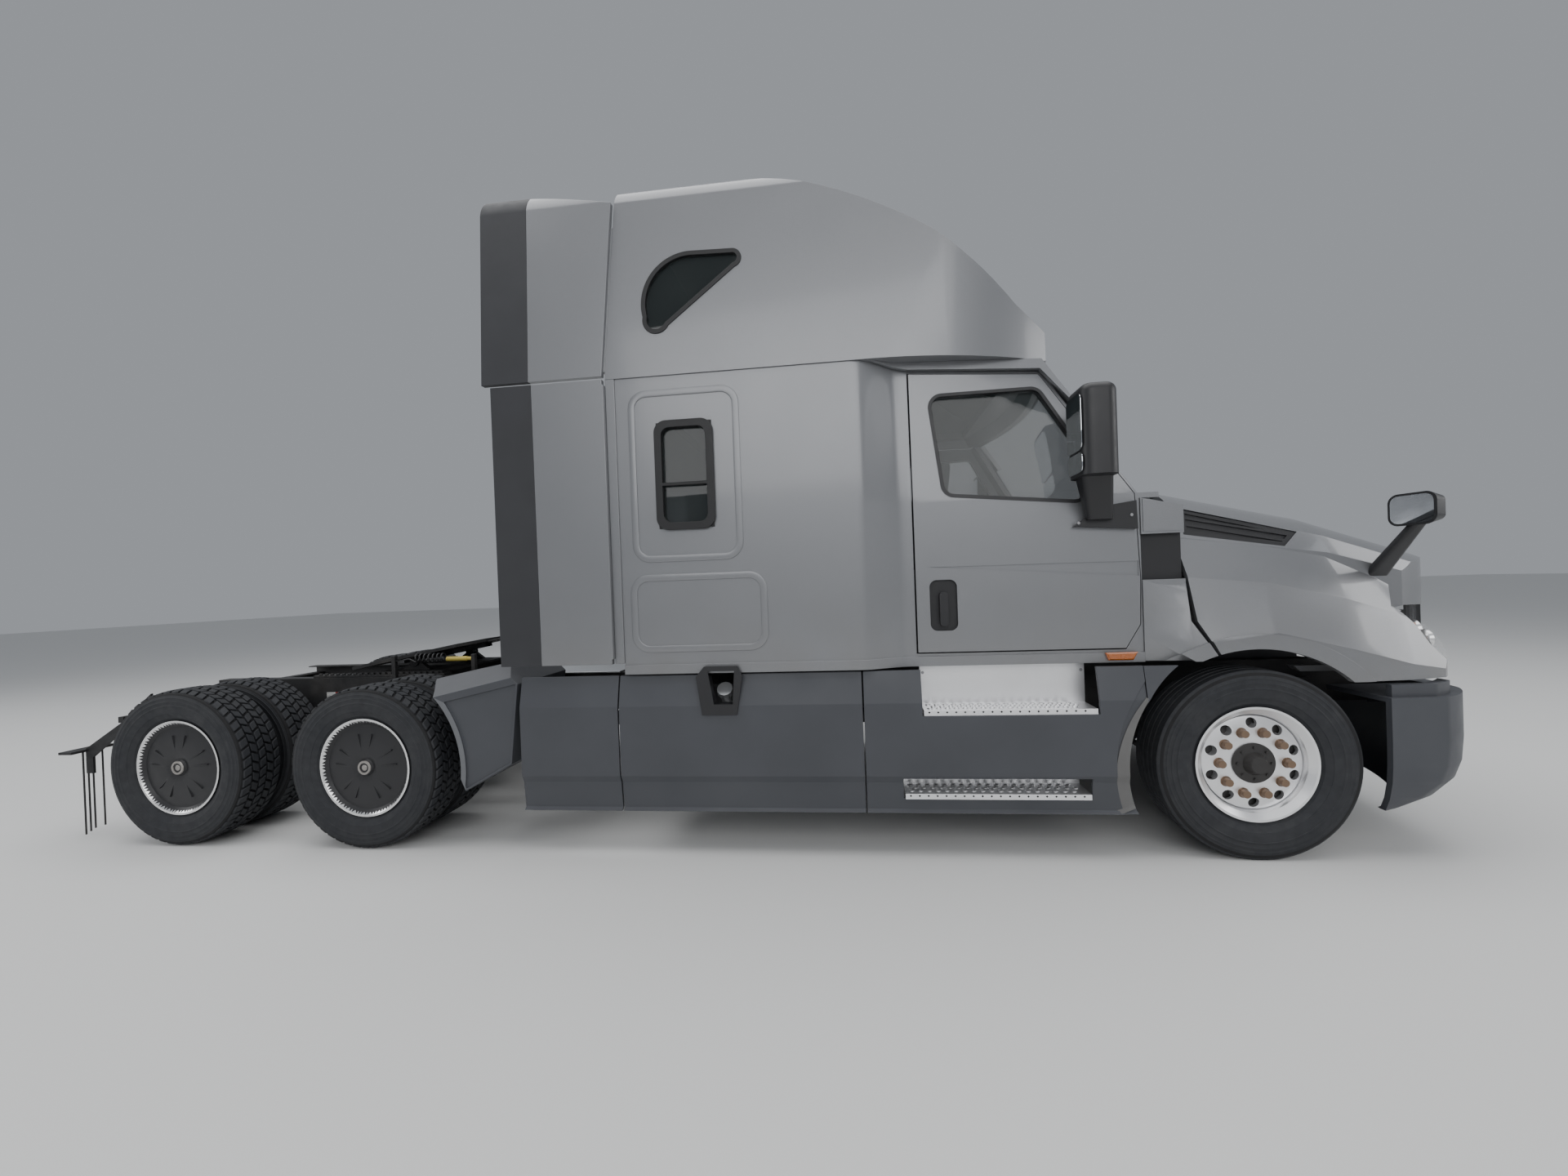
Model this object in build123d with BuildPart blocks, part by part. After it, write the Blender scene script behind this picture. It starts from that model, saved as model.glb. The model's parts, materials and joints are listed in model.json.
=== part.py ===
"""Conventional sleeper tractor unit: +X forward, +Y to its left, +Z up, origin on the ground at mid length."""
from build123d import *
import os

os.makedirs("parts", exist_ok=True)

# Lengths along the chassis
front_overhang = 1270
wheelbase = 5100
tandem_spacing = 1320
rear_overhang = 910
overall_length = front_overhang + wheelbase + tandem_spacing + rear_overhang
steer_x = overall_length / 2 - front_overhang
drive_x = steer_x - wheelbase
tail_x = drive_x - tandem_spacing
nose_x = steer_x + front_overhang

# Wheels and tyres
tyre_radius = 500
tyre_width = 280
bead_radius = 286
flange_radius = 303
flange_depth = 14
barrel_radius = 262
rim_wall = 12
rim_width = 228
steer_track = 2080
dual_track = 1826
dual_spacing = 343
hub_radius = 110
spindle_radius = 42
spindle_gap = 1
hand_holes = 10
hand_hole_radius = 27
hand_hole_circle = 212
lug_circle = 167
lug_count = 10
lug_radius = 19
lug_height = 32
drum_radius = 205

# Frame
rail_outside = 864
rail_height = 266
rail_flange = 89
rail_wall = 9
rail_top = 950
frame_front = 1080
frame_rear = 590

# Cab and sleeper, lengths measured from the steering axle
sleeper_back = 3450
flare_back = 2050
flare_front = 1745
firewall_back = 410
cowl_front = 300
sleeper_half = 1220
cab_half = 1120
floor_z = 1110
belt_z = 1960
seam_z = 2755
roof_height = 1180
roof_z = seam_z + roof_height
roof_side_top = roof_z - 145
roof_brow_z = seam_z + 131
roof_slope_z = seam_z + 297
cab_wall = 55
floor_thick = 45

# Clearances
panel_gap = 8
seat_gap = 0.3
glass_thick = 8

# Lower bodywork
skirt_half = 1235
skirt_top = 1036
skirt_bottom = 255
skirt_wall = 20

rail_half = rail_outside / 2
rail_bottom = rail_top - rail_height
axle_z = tyre_radius
sides = (("right", -1), ("left", 1))


def at_steer(x):
    """X of a place that lies x ahead of the steering axle."""
    return steer_x + x


def save(block, name):
    block.part.label = name
    export_step(block.part, f"parts/{name}.step")


def side_points(points):
    """Moves (ahead of the steering axle, height) points to the shared frame."""
    return [(at_steer(x), z) for x, z in points]


def side_plane(side, y):
    """Side view at y on the given side, X and Z as its sketch axes; -side times a depth goes outwards."""
    return Plane.XZ.offset(-side * y)


# Frame rails: two channels with their webs outside
frame_back_x = tail_x - frame_rear
frame_front_x = at_steer(frame_front)
frame_length = frame_front_x - frame_back_x
rail_mid_z = rail_top - rail_height / 2
with BuildPart() as frame_rails:
    with BuildSketch(Plane.YZ.offset(frame_back_x)):
        with Locations((rail_half - rail_flange / 2, rail_mid_z)):
            Rectangle(rail_flange, rail_height)
        with Locations((rail_half - rail_wall - rail_flange / 2, rail_mid_z)):
            Rectangle(rail_flange, rail_height - 2 * rail_wall, mode=Mode.SUBTRACT)
        mirror(about=Plane.YZ)
    extrude(amount=frame_length)
save(frame_rails, "frame_rails")

# Crossmembers between the webs, kept clear of the flanges
member_height = 150
member_length = 90
member_end = -wheelbase - tandem_spacing - frame_rear + member_length / 2
member_places = (1000, -1650, -3000, -4350, -5760, member_end)
end_plate = 12
with BuildPart() as crossmembers:
    for x in member_places:
        with Locations((at_steer(x), 0, rail_mid_z)):
            Box(member_length, 2 * (rail_half - rail_wall), member_height)
            Box(
                member_length + 2, rail_outside - 2 * rail_flange - 60,
                member_height - 24, mode=Mode.SUBTRACT
            )
    with Locations((frame_back_x + end_plate / 2, 0, rail_mid_z)):
        Box(end_plate, rail_outside - 2 * rail_flange, member_height)
save(crossmembers, "crossmembers")

# Engine as one block, its radiator ahead of it
engine_length = 1130
engine_width = 660
engine_height = 800
engine_bottom = 780
engine_back = -380
radiator_thick = 110
radiator_width = 960
radiator_height = 600
radiator_ahead = 860
with BuildPart() as engine:
    with Locations((at_steer(engine_back + engine_length / 2), 0, engine_bottom + engine_height / 2)):
        Box(engine_length, engine_width, engine_height)
    chamfer(engine.edges().filter_by(Axis.X), 70)
    with Locations((at_steer(engine_back + engine_length / 2), 0, engine_bottom - 60)):
        Box(engine_length - 300, 400, 120)
    with Locations((at_steer(radiator_ahead + radiator_thick / 2), 0, rail_top)):
        Box(radiator_thick, radiator_width, radiator_height, align=(Align.CENTER, Align.CENTER, Align.MIN))
save(engine, "engine")

# Gearbox and shafts to both drive axles
shaft_radius = 55
shaft_z = axle_z + 30
gearbox_back = -1250
gearbox_half = 240
axle_bowl = 215
bowl_half = 170
nose_radius = 85
nose_end = axle_bowl + 70
with BuildPart() as driveline:
    with Locations((at_steer((engine_back + gearbox_back) / 2), 0, 800)):
        Box(engine_back - gearbox_back, 2 * gearbox_half, 420)
    chamfer(driveline.edges().filter_by(Axis.X), 80)
    front_shaft = at_steer(gearbox_back) - (drive_x + nose_end)
    with BuildSketch(Plane.YZ.offset(drive_x + nose_end)):
        with Locations((0, shaft_z)):
            Circle(shaft_radius)
    extrude(amount=front_shaft)
    with BuildSketch(Plane.YZ.offset(at_steer(gearbox_back) - 160)):
        with Locations((0, shaft_z + 20)):
            Circle(shaft_radius + 40)
    extrude(amount=160)
    with BuildSketch(Plane.YZ.offset(tail_x + nose_end)):
        with Locations((0, shaft_z)):
            Circle(shaft_radius)
    extrude(amount=tandem_spacing - 2 * nose_end)
save(driveline, "driveline")

# Steering axle: dropped beam with an eye at each kingpin
kingpin_y = 870
kingpin_radius = 23
eye_radius = 48
eye_half = 70
beam_width = 90
beam_height = 110
beam_drop = 60
with BuildPart() as front_axle:
    beam_line = ((kingpin_y - 20, 0), (kingpin_y - 200, -beam_drop))
    with BuildSketch(Plane.YZ.offset(steer_x - beam_width / 2)):
        with BuildLine():
            top = [(y, axle_z + dz + beam_height / 2) for y, dz in beam_line]
            low = [(y, axle_z + dz - beam_height / 2) for y, dz in beam_line]
            Polyline(
                *top, *[(-y, z) for y, z in reversed(top)],
                *[(-y, z) for y, z in low], *reversed(low), close=True
            )
        make_face()
    extrude(amount=beam_width)
    with Locations(*[(steer_x, side * kingpin_y, axle_z) for name, side in sides]):
        Cylinder(eye_radius, 2 * eye_half)
        Cylinder(kingpin_radius + seat_gap, 2 * eye_half + 2, mode=Mode.SUBTRACT)
save(front_axle, "front_axle")

# Springs: leaf packs in front, arms and air springs behind
leaf_y = 470
leaf_width = 80
leaf_half = 700
leaf_thick = 60
leaf_z = axle_z - beam_drop + beam_height / 2
shackle_height = rail_bottom - leaf_z - leaf_thick
arm_y = 440
arm_width = 90
arm_front = 520
arm_rear = 330
tube_radius = 68
arm_top = axle_z - tube_radius
arm_thick = 80
air_radius = 105
hanger_bottom = arm_top - arm_thick
with BuildPart() as suspension:
    for name, side in sides:
        with Locations((steer_x, side * leaf_y, leaf_z + leaf_thick / 2)):
            Box(2 * leaf_half, leaf_width, leaf_thick)
        with Locations((steer_x, side * leaf_y, leaf_z + leaf_thick + 20)):
            Box(180, leaf_width + 20, 40)
        for end in (-1, 1):
            with Locations(
                (steer_x + end * (leaf_half - 45), side * (rail_half + leaf_width / 2), leaf_z + leaf_thick)
            ):
                Box(90, leaf_width, shackle_height + 160, align=(Align.CENTER, Align.CENTER, Align.MIN))
        for x in (drive_x, tail_x):
            with Locations((x + (arm_front - arm_rear) / 2, side * arm_y, arm_top - arm_thick / 2)):
                Box(arm_front + arm_rear, arm_width, arm_thick)
            with Locations((x + arm_front - 50, side * arm_y, hanger_bottom)):
                Box(
                    100, arm_width, rail_bottom - hanger_bottom,
                    align=(Align.CENTER, Align.CENTER, Align.MIN)
                )
            with Locations((x - arm_rear + air_radius, side * arm_y, arm_top)):
                Cylinder(air_radius, rail_bottom - arm_top, align=(Align.CENTER, Align.CENTER, Align.MIN))
save(suspension, "suspension")

# Drive axles: tube, centre bowl and spindles
dual_outer_y = dual_track / 2 + dual_spacing / 2
dual_inner_y = dual_outer_y - dual_spacing
hub_inner_y = dual_inner_y - rim_width / 2 + 10
bore_end = dual_outer_y - 60
rear_spindle_end = bore_end - 6
with BuildPart() as rear_axles:
    for x in (drive_x, tail_x):
        with BuildSketch(Plane.YZ.offset(x)):
            with BuildLine():
                half_profile = (
                    (rear_spindle_end, 0), (
                        rear_spindle_end, spindle_radius
                    ), (hub_inner_y - 10, spindle_radius),
                    (
                        hub_inner_y - 10, tube_radius
                    ), (bowl_half + 60, tube_radius), (bowl_half - 50, axle_bowl),
                )
                points = [(y, axle_z + radius) for y, radius in half_profile]
                Polyline(*points, *[(-y, z) for y, z in reversed(points)], close=True)
            make_face()
        revolve(axis=Axis((x, 0, axle_z), (0, 1, 0)))
    for x, ends in ((drive_x, (-1, 1)), (tail_x, (1,))):
        for end in ends:
            with BuildSketch(Plane(origin=(x, 0, shaft_z), z_dir=(end, 0, 0))):
                Circle(nose_radius)
            extrude(amount=nose_end)
save(rear_axles, "rear_axles")


def tyre_ring(wheel_x, wheel_y):
    """One tyre round an axle along Y, bead to tread with rounded walls."""
    half = tyre_width / 2
    tread = half - 22
    bead_half = rim_width / 2 - flange_depth - 1
    with BuildPart() as ring:
        with BuildSketch(Plane.YZ.offset(wheel_x)):
            with BuildLine():
                wall = (
                    (tread, tyre_radius), (half - 4, tyre_radius - 26), (half, tyre_radius - 95),
                    (bead_half, flange_radius + 6), (bead_half, bead_radius)
                )
                outer = [(wheel_y + out, axle_z + radius) for out, radius in wall]
                inner = [(wheel_y - out, axle_z + radius) for out, radius in reversed(wall)]
                Polyline(*outer, *inner, close=True)
            make_face()
        revolve(axis=Axis((wheel_x, wheel_y, axle_z), (0, 1, 0)))
    return ring.part


def ring_profile(wheel_y, outward, points):
    """Profile points as (outboard of the tyre's middle, radius), on the side that outward names."""
    return [(wheel_y + outward * out, axle_z + radius) for out, radius in points]


# Rim profile, from the outer flange round the drop centre to the inner flange
rim_outline = (
    (rim_width / 2, flange_radius),
    (rim_width / 2, flange_radius - rim_wall),
    (rim_width / 2 - 26, barrel_radius + 12 - rim_wall),
    (20, barrel_radius - 10 - rim_wall),
    (-rim_width / 2 + 26, barrel_radius + 12 - rim_wall),
    (-rim_width / 2, flange_radius - rim_wall),
    (-rim_width / 2, flange_radius),
    (-rim_width / 2 + flange_depth, bead_radius - seat_gap),
    (-rim_width / 2 + 40, bead_radius - seat_gap),
    (-20, barrel_radius),
    (30, barrel_radius),
    (rim_width / 2 - 40, bead_radius - seat_gap),
    (rim_width / 2 - flange_depth, bead_radius - seat_gap),
)

# Steering wheel ends: rim, disc with its hand holes, hub, lugs and drum
disc_out = 60
disc_thick = 18
for name, side in sides:
    wheel_y = side * steer_track / 2
    front_tyre = tyre_ring(steer_x, wheel_y)
    with BuildPart() as tyre_front:
        add(front_tyre)
    save(tyre_front, f"tyre_front_{name}")

    wheel_axis = Axis((steer_x, wheel_y, axle_z), (0, 1, 0))
    with BuildPart() as wheel_front:
        with BuildSketch(Plane.YZ.offset(steer_x)):
            with BuildLine():
                Polyline(*ring_profile(wheel_y, side, rim_outline), close=True)
            make_face()
            with BuildLine():
                disc = (
                    (disc_out + disc_thick, hub_radius - 5),
                    (disc_out + disc_thick, lug_circle + 24),
                    (disc_out + 4, barrel_radius - 14),
                    (disc_out - 22, barrel_radius - 12),
                    (disc_out, lug_circle + 20),
                    (disc_out, hub_radius - 5),
                )
                Polyline(*ring_profile(wheel_y, side, disc), close=True)
            make_face()
            with BuildLine():
                hub = (
                    (disc_out + 70, 0),
                    (disc_out + 70, 44),
                    (disc_out + 34, 60),
                    (disc_out + 26, hub_radius - 4),
                    (-60, hub_radius - 4),
                    (-60, spindle_radius + spindle_gap),
                    (20, spindle_radius + spindle_gap),
                    (20, 0),
                )
                Polyline(*ring_profile(wheel_y, side, hub), close=True)
            make_face()
            with BuildLine():
                drum = (
                    (disc_out, hub_radius - 6),
                    (disc_out, drum_radius),
                    (-95, drum_radius),
                    (-95, drum_radius - 16),
                    (disc_out - 30, drum_radius - 16),
                    (disc_out - 30, hub_radius - 6),
                )
                Polyline(*ring_profile(wheel_y, side, drum), close=True)
            make_face()
        revolve(axis=wheel_axis)
        disc_plane = Plane(
            origin=(steer_x, wheel_y + side * disc_out, axle_z), x_dir=(1, 0, 0), z_dir=(0, side, 0)
        )
        with BuildSketch(disc_plane.offset(-40)):
            with PolarLocations(hand_hole_circle, hand_holes, start_angle=90):
                Circle(hand_hole_radius)
        extrude(amount=90, mode=Mode.SUBTRACT)
        with BuildSketch(disc_plane.offset(disc_thick)):
            with PolarLocations(lug_circle, lug_count, start_angle=90 + 180 / lug_count):
                RegularPolygon(lug_radius, 6)
        extrude(amount=lug_height, taper=12)
    save(wheel_front, f"wheel_front_{name}")

# Knuckles: a yoke over the axle's eye, kingpin, spindle and steering arm
yoke_gap = 5
yoke_thick = 28
yoke_web = 45
yoke_width = 96
arm_back = 210
arm_thick_z = 24
ball_radius = 30
ball_pin = 14
arm_z = axle_z - eye_half - yoke_gap - yoke_thick / 2
spindle_end = steer_track / 2 + 12
for name, side in sides:
    pin_y = side * kingpin_y
    web_y = side * (kingpin_y + eye_radius + yoke_gap + yoke_web / 2)
    yoke_half = eye_half + yoke_gap + yoke_thick
    with BuildPart() as knuckle:
        with Locations((steer_x, pin_y, axle_z)):
            Cylinder(kingpin_radius, 2 * yoke_half + 20)
        for end in (-1, 1):
            with Locations((steer_x, pin_y, axle_z + end * (eye_half + yoke_gap + yoke_thick / 2))):
                Cylinder(yoke_width / 2, yoke_thick)
            with Locations(
                (steer_x, (pin_y + web_y) / 2, axle_z + end * (eye_half + yoke_gap + yoke_thick / 2))
            ):
                Box(yoke_width, abs(web_y - pin_y), yoke_thick)
        with Locations((steer_x, web_y, axle_z)):
            Box(yoke_width, yoke_web, 2 * yoke_half)
        spindle_start = kingpin_y + eye_radius + yoke_gap + yoke_web - 5
        with BuildSketch(Plane(origin=(steer_x, side * spindle_start, axle_z), z_dir=(0, side, 0))):
            Circle(spindle_radius)
        extrude(amount=spindle_end - spindle_start)
        with Locations((steer_x - arm_back / 2, pin_y, arm_z)):
            Box(arm_back, 2 * ball_radius - 4, arm_thick_z)
        with Locations((steer_x - arm_back, pin_y, arm_z)):
            Cylinder(ball_radius, arm_thick_z)
            Cylinder(ball_pin + seat_gap, arm_thick_z + 2, mode=Mode.SUBTRACT)
    save(knuckle, f"knuckle_{name}")

# Tie rod under both arms, with a pin up through each
tie_radius = 19
tie_z = arm_z - arm_thick_z / 2 - yoke_gap - tie_radius
with BuildPart() as tie_rod:
    with BuildSketch(Plane.XZ.offset(-kingpin_y)):
        with Locations((steer_x - arm_back, tie_z)):
            Circle(tie_radius)
    extrude(amount=2 * kingpin_y)
    for name, side in sides:
        with Locations((steer_x - arm_back, side * kingpin_y, tie_z)):
            Cylinder(ball_radius - 4, 2 * tie_radius)
        with Locations((steer_x - arm_back, side * kingpin_y, tie_z)):
            Cylinder(ball_pin, arm_z + arm_thick_z / 2 - tie_z, align=(Align.CENTER, Align.CENTER, Align.MIN))
save(tie_rod, "tie_rod")

# Drive wheels: two rims on one hub with a domed cover outside
rear_places = (("drive", drive_x), ("tail", tail_x))
cover_edge = 276
cover_sink = 26
cover_thick = 8
cover_dome = 20
cover_ribs = 5
rib_length = 92
rib_width = 12
rib_spread = 13
cap_radius = 46
for axle, wheel_x in rear_places:
    for name, side in sides:
        outer_tyre = tyre_ring(wheel_x, side * dual_outer_y)
        inner_tyre = tyre_ring(wheel_x, side * dual_inner_y)
        with BuildPart() as tyres:
            add(outer_tyre)
            add(inner_tyre)
        save(tyres, f"tyres_{axle}_{name}")

        mid_y = side * (dual_outer_y + dual_inner_y) / 2
        half_gap = dual_spacing / 2
        disc_edge = half_gap - rim_width / 2 + 40
        with BuildPart() as wheels:
            with BuildSketch(Plane.YZ.offset(wheel_x)):
                for place in (-1, 1):
                    with BuildLine():
                        shifted = [(place * half_gap + out, radius) for out, radius in rim_outline]
                        Polyline(*ring_profile(mid_y, side, shifted), close=True)
                    make_face()
                    with BuildLine():
                        disc = (
                            (0, hub_radius - 5),
                            (place * disc_thick, hub_radius - 5),
                            (place * disc_thick, lug_circle + 20),
                            (place * disc_edge, barrel_radius + 4),
                            (place * (disc_edge - 18), barrel_radius + 4),
                            (0, lug_circle + 34),
                        )
                        Polyline(*ring_profile(mid_y, side, disc), close=True)
                    make_face()
                with BuildLine():
                    hub = (
                        (half_gap - 40, 0),
                        (half_gap - 40, 70),
                        (60, 80),
                        (40, hub_radius - 4),
                        (-half_gap - rim_width / 2 + 20, hub_radius - 4),
                        (-half_gap - rim_width / 2 + 20, spindle_radius + spindle_gap),
                        (bore_end - abs(mid_y), spindle_radius + spindle_gap),
                        (bore_end - abs(mid_y), 0),
                    )
                    Polyline(*ring_profile(mid_y, side, hub), close=True)
                make_face()
                with BuildLine():
                    face = half_gap + rim_width / 2 - cover_sink
                    cover = (
                        (face, cover_edge + 4),
                        (face, cover_edge - 8),
                        (face + cover_dome, 2 * cap_radius),
                        (face + cover_dome - 8, cap_radius + 8),
                        (face + cover_dome + 4, cap_radius),
                        (face + cover_dome + 4, 0),
                        (face + cover_dome - 14, 0),
                        (face - cover_thick, cover_edge - 8),
                        (face - cover_thick, cover_edge + 4),
                    )
                    Polyline(*ring_profile(mid_y, side, cover), close=True)
                make_face()
            revolve(axis=Axis((wheel_x, mid_y, axle_z), (0, 1, 0)))
            rib_plane = Plane(
                origin=(wheel_x, mid_y + side * (face + 2), axle_z), x_dir=(1, 0, 0), z_dir=(0, side, 0)
            )
            with BuildSketch(rib_plane):
                for spread in (-rib_spread, rib_spread):
                    with PolarLocations(165, cover_ribs, start_angle=90 + spread):
                        SlotOverall(rib_length, rib_width)
            extrude(amount=cover_dome * 0.72, taper=14)
        save(wheels, f"wheels_{axle}_{name}")

# Cab shell: plan outlines at the floor and belt, and at the roof seam, as (ahead of the steering axle,
# half width)
flare_shape = ((0, 0), (0.2, 0.07), (0.8, 0.93), (1, 1))
belt_front_side = -520
belt_front_mid = -310
seam_front_side = -1000
seam_front_mid = -850
belt_pillar_half = cab_half
seam_pillar_half = 985
seam_cab_half = 1085


def side_plan(half, front):
    """Plan of one side: sleeper, soft flare down to the cab's half width, and the cab's front corner."""
    flare_length = flare_back - flare_front
    flare = [
        (-flare_back + along * flare_length, sleeper_half - share * (sleeper_half - half))
        for along, share in flare_shape
    ]
    return [(-sleeper_back, sleeper_half)] + flare + [front]


lower_plan = side_plan(cab_half, (-firewall_back, cab_half))


def plan_outline(points, front_mid, inset):
    """Closed plan, its back and sides straight; the front is an arc where front_mid is given."""
    rear = [(at_steer(x), y - inset) for x, y in points]
    rear[0] = (rear[0][0] + inset, rear[0][1])
    if front_mid is None:
        rear[-1] = (rear[-1][0] - inset, rear[-1][1])
    left = [(x, y) for x, y in rear]
    right = [(x, -y) for x, y in rear]
    with BuildSketch(mode=Mode.PRIVATE) as outline:
        with BuildLine():
            Polyline(*left)
            Polyline(*right)
            Line(left[0], right[0])
            if front_mid is None:
                Line(left[-1], right[-1])
            else:
                ThreePointArc(left[-1], (at_steer(front_mid) - inset, 0), right[-1])
        make_face()
    return outline.sketch


def cab_body(inset, bottom, top):
    """Cab and sleeper below the roof seam, each wall moved in by inset."""
    belt_plan = side_plan(cab_half, (belt_front_side - inset, belt_pillar_half))
    seam_plan = side_plan(seam_cab_half, (seam_front_side - inset, seam_pillar_half))
    with BuildPart(mode=Mode.PRIVATE) as body:
        with BuildSketch(Plane.XY.offset(bottom)):
            add(plan_outline(lower_plan, None, inset))
        extrude(amount=belt_z - bottom)
        with BuildSketch(Plane.XY.offset(belt_z)):
            add(plan_outline(belt_plan, belt_front_mid, inset))
        with BuildSketch(Plane.XY.offset(seam_z)):
            add(plan_outline(seam_plan, seam_front_mid, inset))
        loft(ruled=True)
        if top > seam_z:
            with BuildSketch(Plane.XY.offset(seam_z)):
                add(plan_outline(seam_plan, seam_front_mid, inset))
            extrude(amount=top - seam_z)
    return body.part


# Door and window outlines, as (ahead of the steering axle, height)
door_rear = -1720
door_bottom = 1120
door_outline = (
    (door_rear, door_bottom),
    (-612, door_bottom),
    (-535, 1249),
    (-527, 1500),
    (-545, belt_z - 5),
    (-985, seam_z - 83),
    (door_rear, seam_z - 55),
)
door_window = (
    (-1604, seam_z - 195),
    (-1540, 2005),
    (-785, 1928),
    (-812, 2230),
    (-1005, seam_z - 175),
)
window_round = 62
berth_window_x = -2996
berth_window_z = 2182
berth_window_size = (322, 605)
window_corner = 70
# Pressed panels: they end in the skin of side_sink that is taken off the whole side, so they leave no mark
emboss_upper = (-2997, 2183, 650, 990)
emboss_lower = (-2946, 1394, 798, 450)
emboss_depth = 9
emboss_band = 45
emboss_corner = 110
drip_proud = 30
drip_view = (
    (-1933, seam_z), (-1720, seam_z - 41), (-985, seam_z - 61), (-800, seam_z - 300), (-752, seam_z - 285),
    (-860, seam_z - 65), (-890, seam_z),
)


def side_prism(points, grow, start, depth, corner=0):
    """Prism of a side-view outline, grown and rounded, from y = start inwards or outwards by depth."""
    with BuildPart(mode=Mode.PRIVATE) as prism:
        with BuildSketch(Plane.XZ.offset(-start)) as view:
            with BuildLine():
                Polyline(*side_points(points), close=True)
            make_face()
            if grow:
                offset(amount=grow, kind=Kind.INTERSECTION)
            if corner:
                fillet(view.vertices(), corner)
        extrude(amount=-depth)
    return prism.part


cab_outer = cab_body(0, floor_z, seam_z)
cab_inner = cab_body(cab_wall, floor_z, seam_z)
wide = sleeper_half + 180
pillar_outline = ((990, floor_z), (990, 2000), (862, seam_z))
header_z = seam_z - 83
shield_foot = 1998

# Fixed sides of cab and sleeper, with door openings and windows; they lie side_sink inside doors and roof
sill_z = 1046
side_sink = 10
cowl_back = -519
cowl_top = 1930
with BuildPart() as cab_sides:
    add(cab_body(0, sill_z, seam_z))
    add(cab_body(cab_wall, sill_z, seam_z), mode=Mode.SUBTRACT)
    with BuildSketch(Plane.YZ.offset(at_steer(-sleeper_back + cab_wall))):
        for mirrored in (-1, 1):
            with BuildLine():
                inner = [(mirrored * y, z) for y, z in ((pillar_outline[0][0], sill_z),) + pillar_outline[1:]]
                Polyline((mirrored * wide, sill_z), *inner, (mirrored * wide, seam_z), close=True)
            make_face()
    extrude(amount=sleeper_back, mode=Mode.INTERSECT)
    skin = cab_body(-1, floor_z - side_sink, floor_z) - cab_body(side_sink, floor_z - side_sink, floor_z)
    add(skin, mode=Mode.SUBTRACT)
    with Locations((at_steer(cowl_back), 0, sill_z)):
        Box(300, 2 * wide, cowl_top - sill_z, align=(Align.MIN, Align.CENTER, Align.MIN), mode=Mode.SUBTRACT)
    for name, side in sides:
        add(side_prism(door_outline, panel_gap / 2, side * 900, side * 500), mode=Mode.SUBTRACT)
        with Locations((at_steer(berth_window_x), side * sleeper_half, berth_window_z)):
            Box(berth_window_size[0], 3 * cab_wall, berth_window_size[1], mode=Mode.SUBTRACT)
        for x, z, length, height in (emboss_upper, emboss_lower):
            with BuildSketch(
                Plane(origin=(at_steer(x), side * sleeper_half, z), x_dir=(1, 0, 0), z_dir=(0, side, 0))
            ):
                RectangleRounded(length, height, emboss_corner)
                RectangleRounded(
                    length - 2 * emboss_band, height - 2 * emboss_band,
                    emboss_corner - 35, mode=Mode.SUBTRACT
                )
            extrude(amount=-emboss_depth, mode=Mode.SUBTRACT)
    drip_shell = cab_body(-drip_proud, floor_z, seam_z) - cab_body(2, floor_z, seam_z)
    for name, side in sides:
        add(drip_shell & side_prism(drip_view, 0, side * 900, side * 500))
save(cab_sides, "cab_sides")

# Back wall between the sides
with BuildPart() as cab_back:
    add(cab_outer)
    with Locations((at_steer(-sleeper_back + cab_wall / 2), 0, (floor_z + seam_z) / 2)):
        Box(cab_wall, 2 * wide, seam_z - floor_z, mode=Mode.INTERSECT)
save(cab_back, "cab_back")

# Firewall, cowl and windscreen header
with BuildPart() as cab_front:
    add(cab_outer)
    add(cab_inner, mode=Mode.SUBTRACT)
    with BuildSketch(Plane.YZ.offset(at_steer(-1400))):
        with BuildLine():
            Polyline(*pillar_outline, *[(-y, z) for y, z in reversed(pillar_outline)], close=True)
        make_face()
    extrude(amount=1400, mode=Mode.INTERSECT)
    with BuildSketch(Plane.YZ.offset(at_steer(-1400))):
        with BuildLine():
            Polyline(
                (1000, shield_foot), (-1000, shield_foot), (-1000, header_z), (1000, header_z), close=True
            )
        make_face()
    extrude(amount=1400, mode=Mode.SUBTRACT)
save(cab_front, "cab_front")

# Windscreen between header, cowl and pillars
with BuildPart() as windshield:
    add(cab_body(12, floor_z, seam_z))
    add(cab_body(12 + glass_thick, floor_z, seam_z), mode=Mode.SUBTRACT)
    with BuildSketch(Plane.YZ.offset(at_steer(-1400))):
        with BuildLine():
            Polyline(*pillar_outline, *[(-y, z) for y, z in reversed(pillar_outline)], close=True)
        make_face()
    extrude(amount=1400, mode=Mode.INTERSECT)
    with Locations((at_steer(-700), 0, (shield_foot + header_z) / 2)):
        Box(1400, 2 * wide, header_z - shield_foot, mode=Mode.INTERSECT)

# Cab floor inside the walls
with BuildPart() as cab_floor:
    add(cab_inner)
    with Locations((at_steer(-sleeper_back / 2), 0, floor_z + floor_thick / 2)):
        Box(sleeper_back * 2, 2 * wide, floor_thick, mode=Mode.INTERSECT)
save(cab_floor, "cab_floor")

# Roof cap: side view, then plan and cross section trimmed out of it
roof_back_top = -3365
roof_plan_mid = -1350
roof_crown = 18
roof_side_half = 1165


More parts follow.
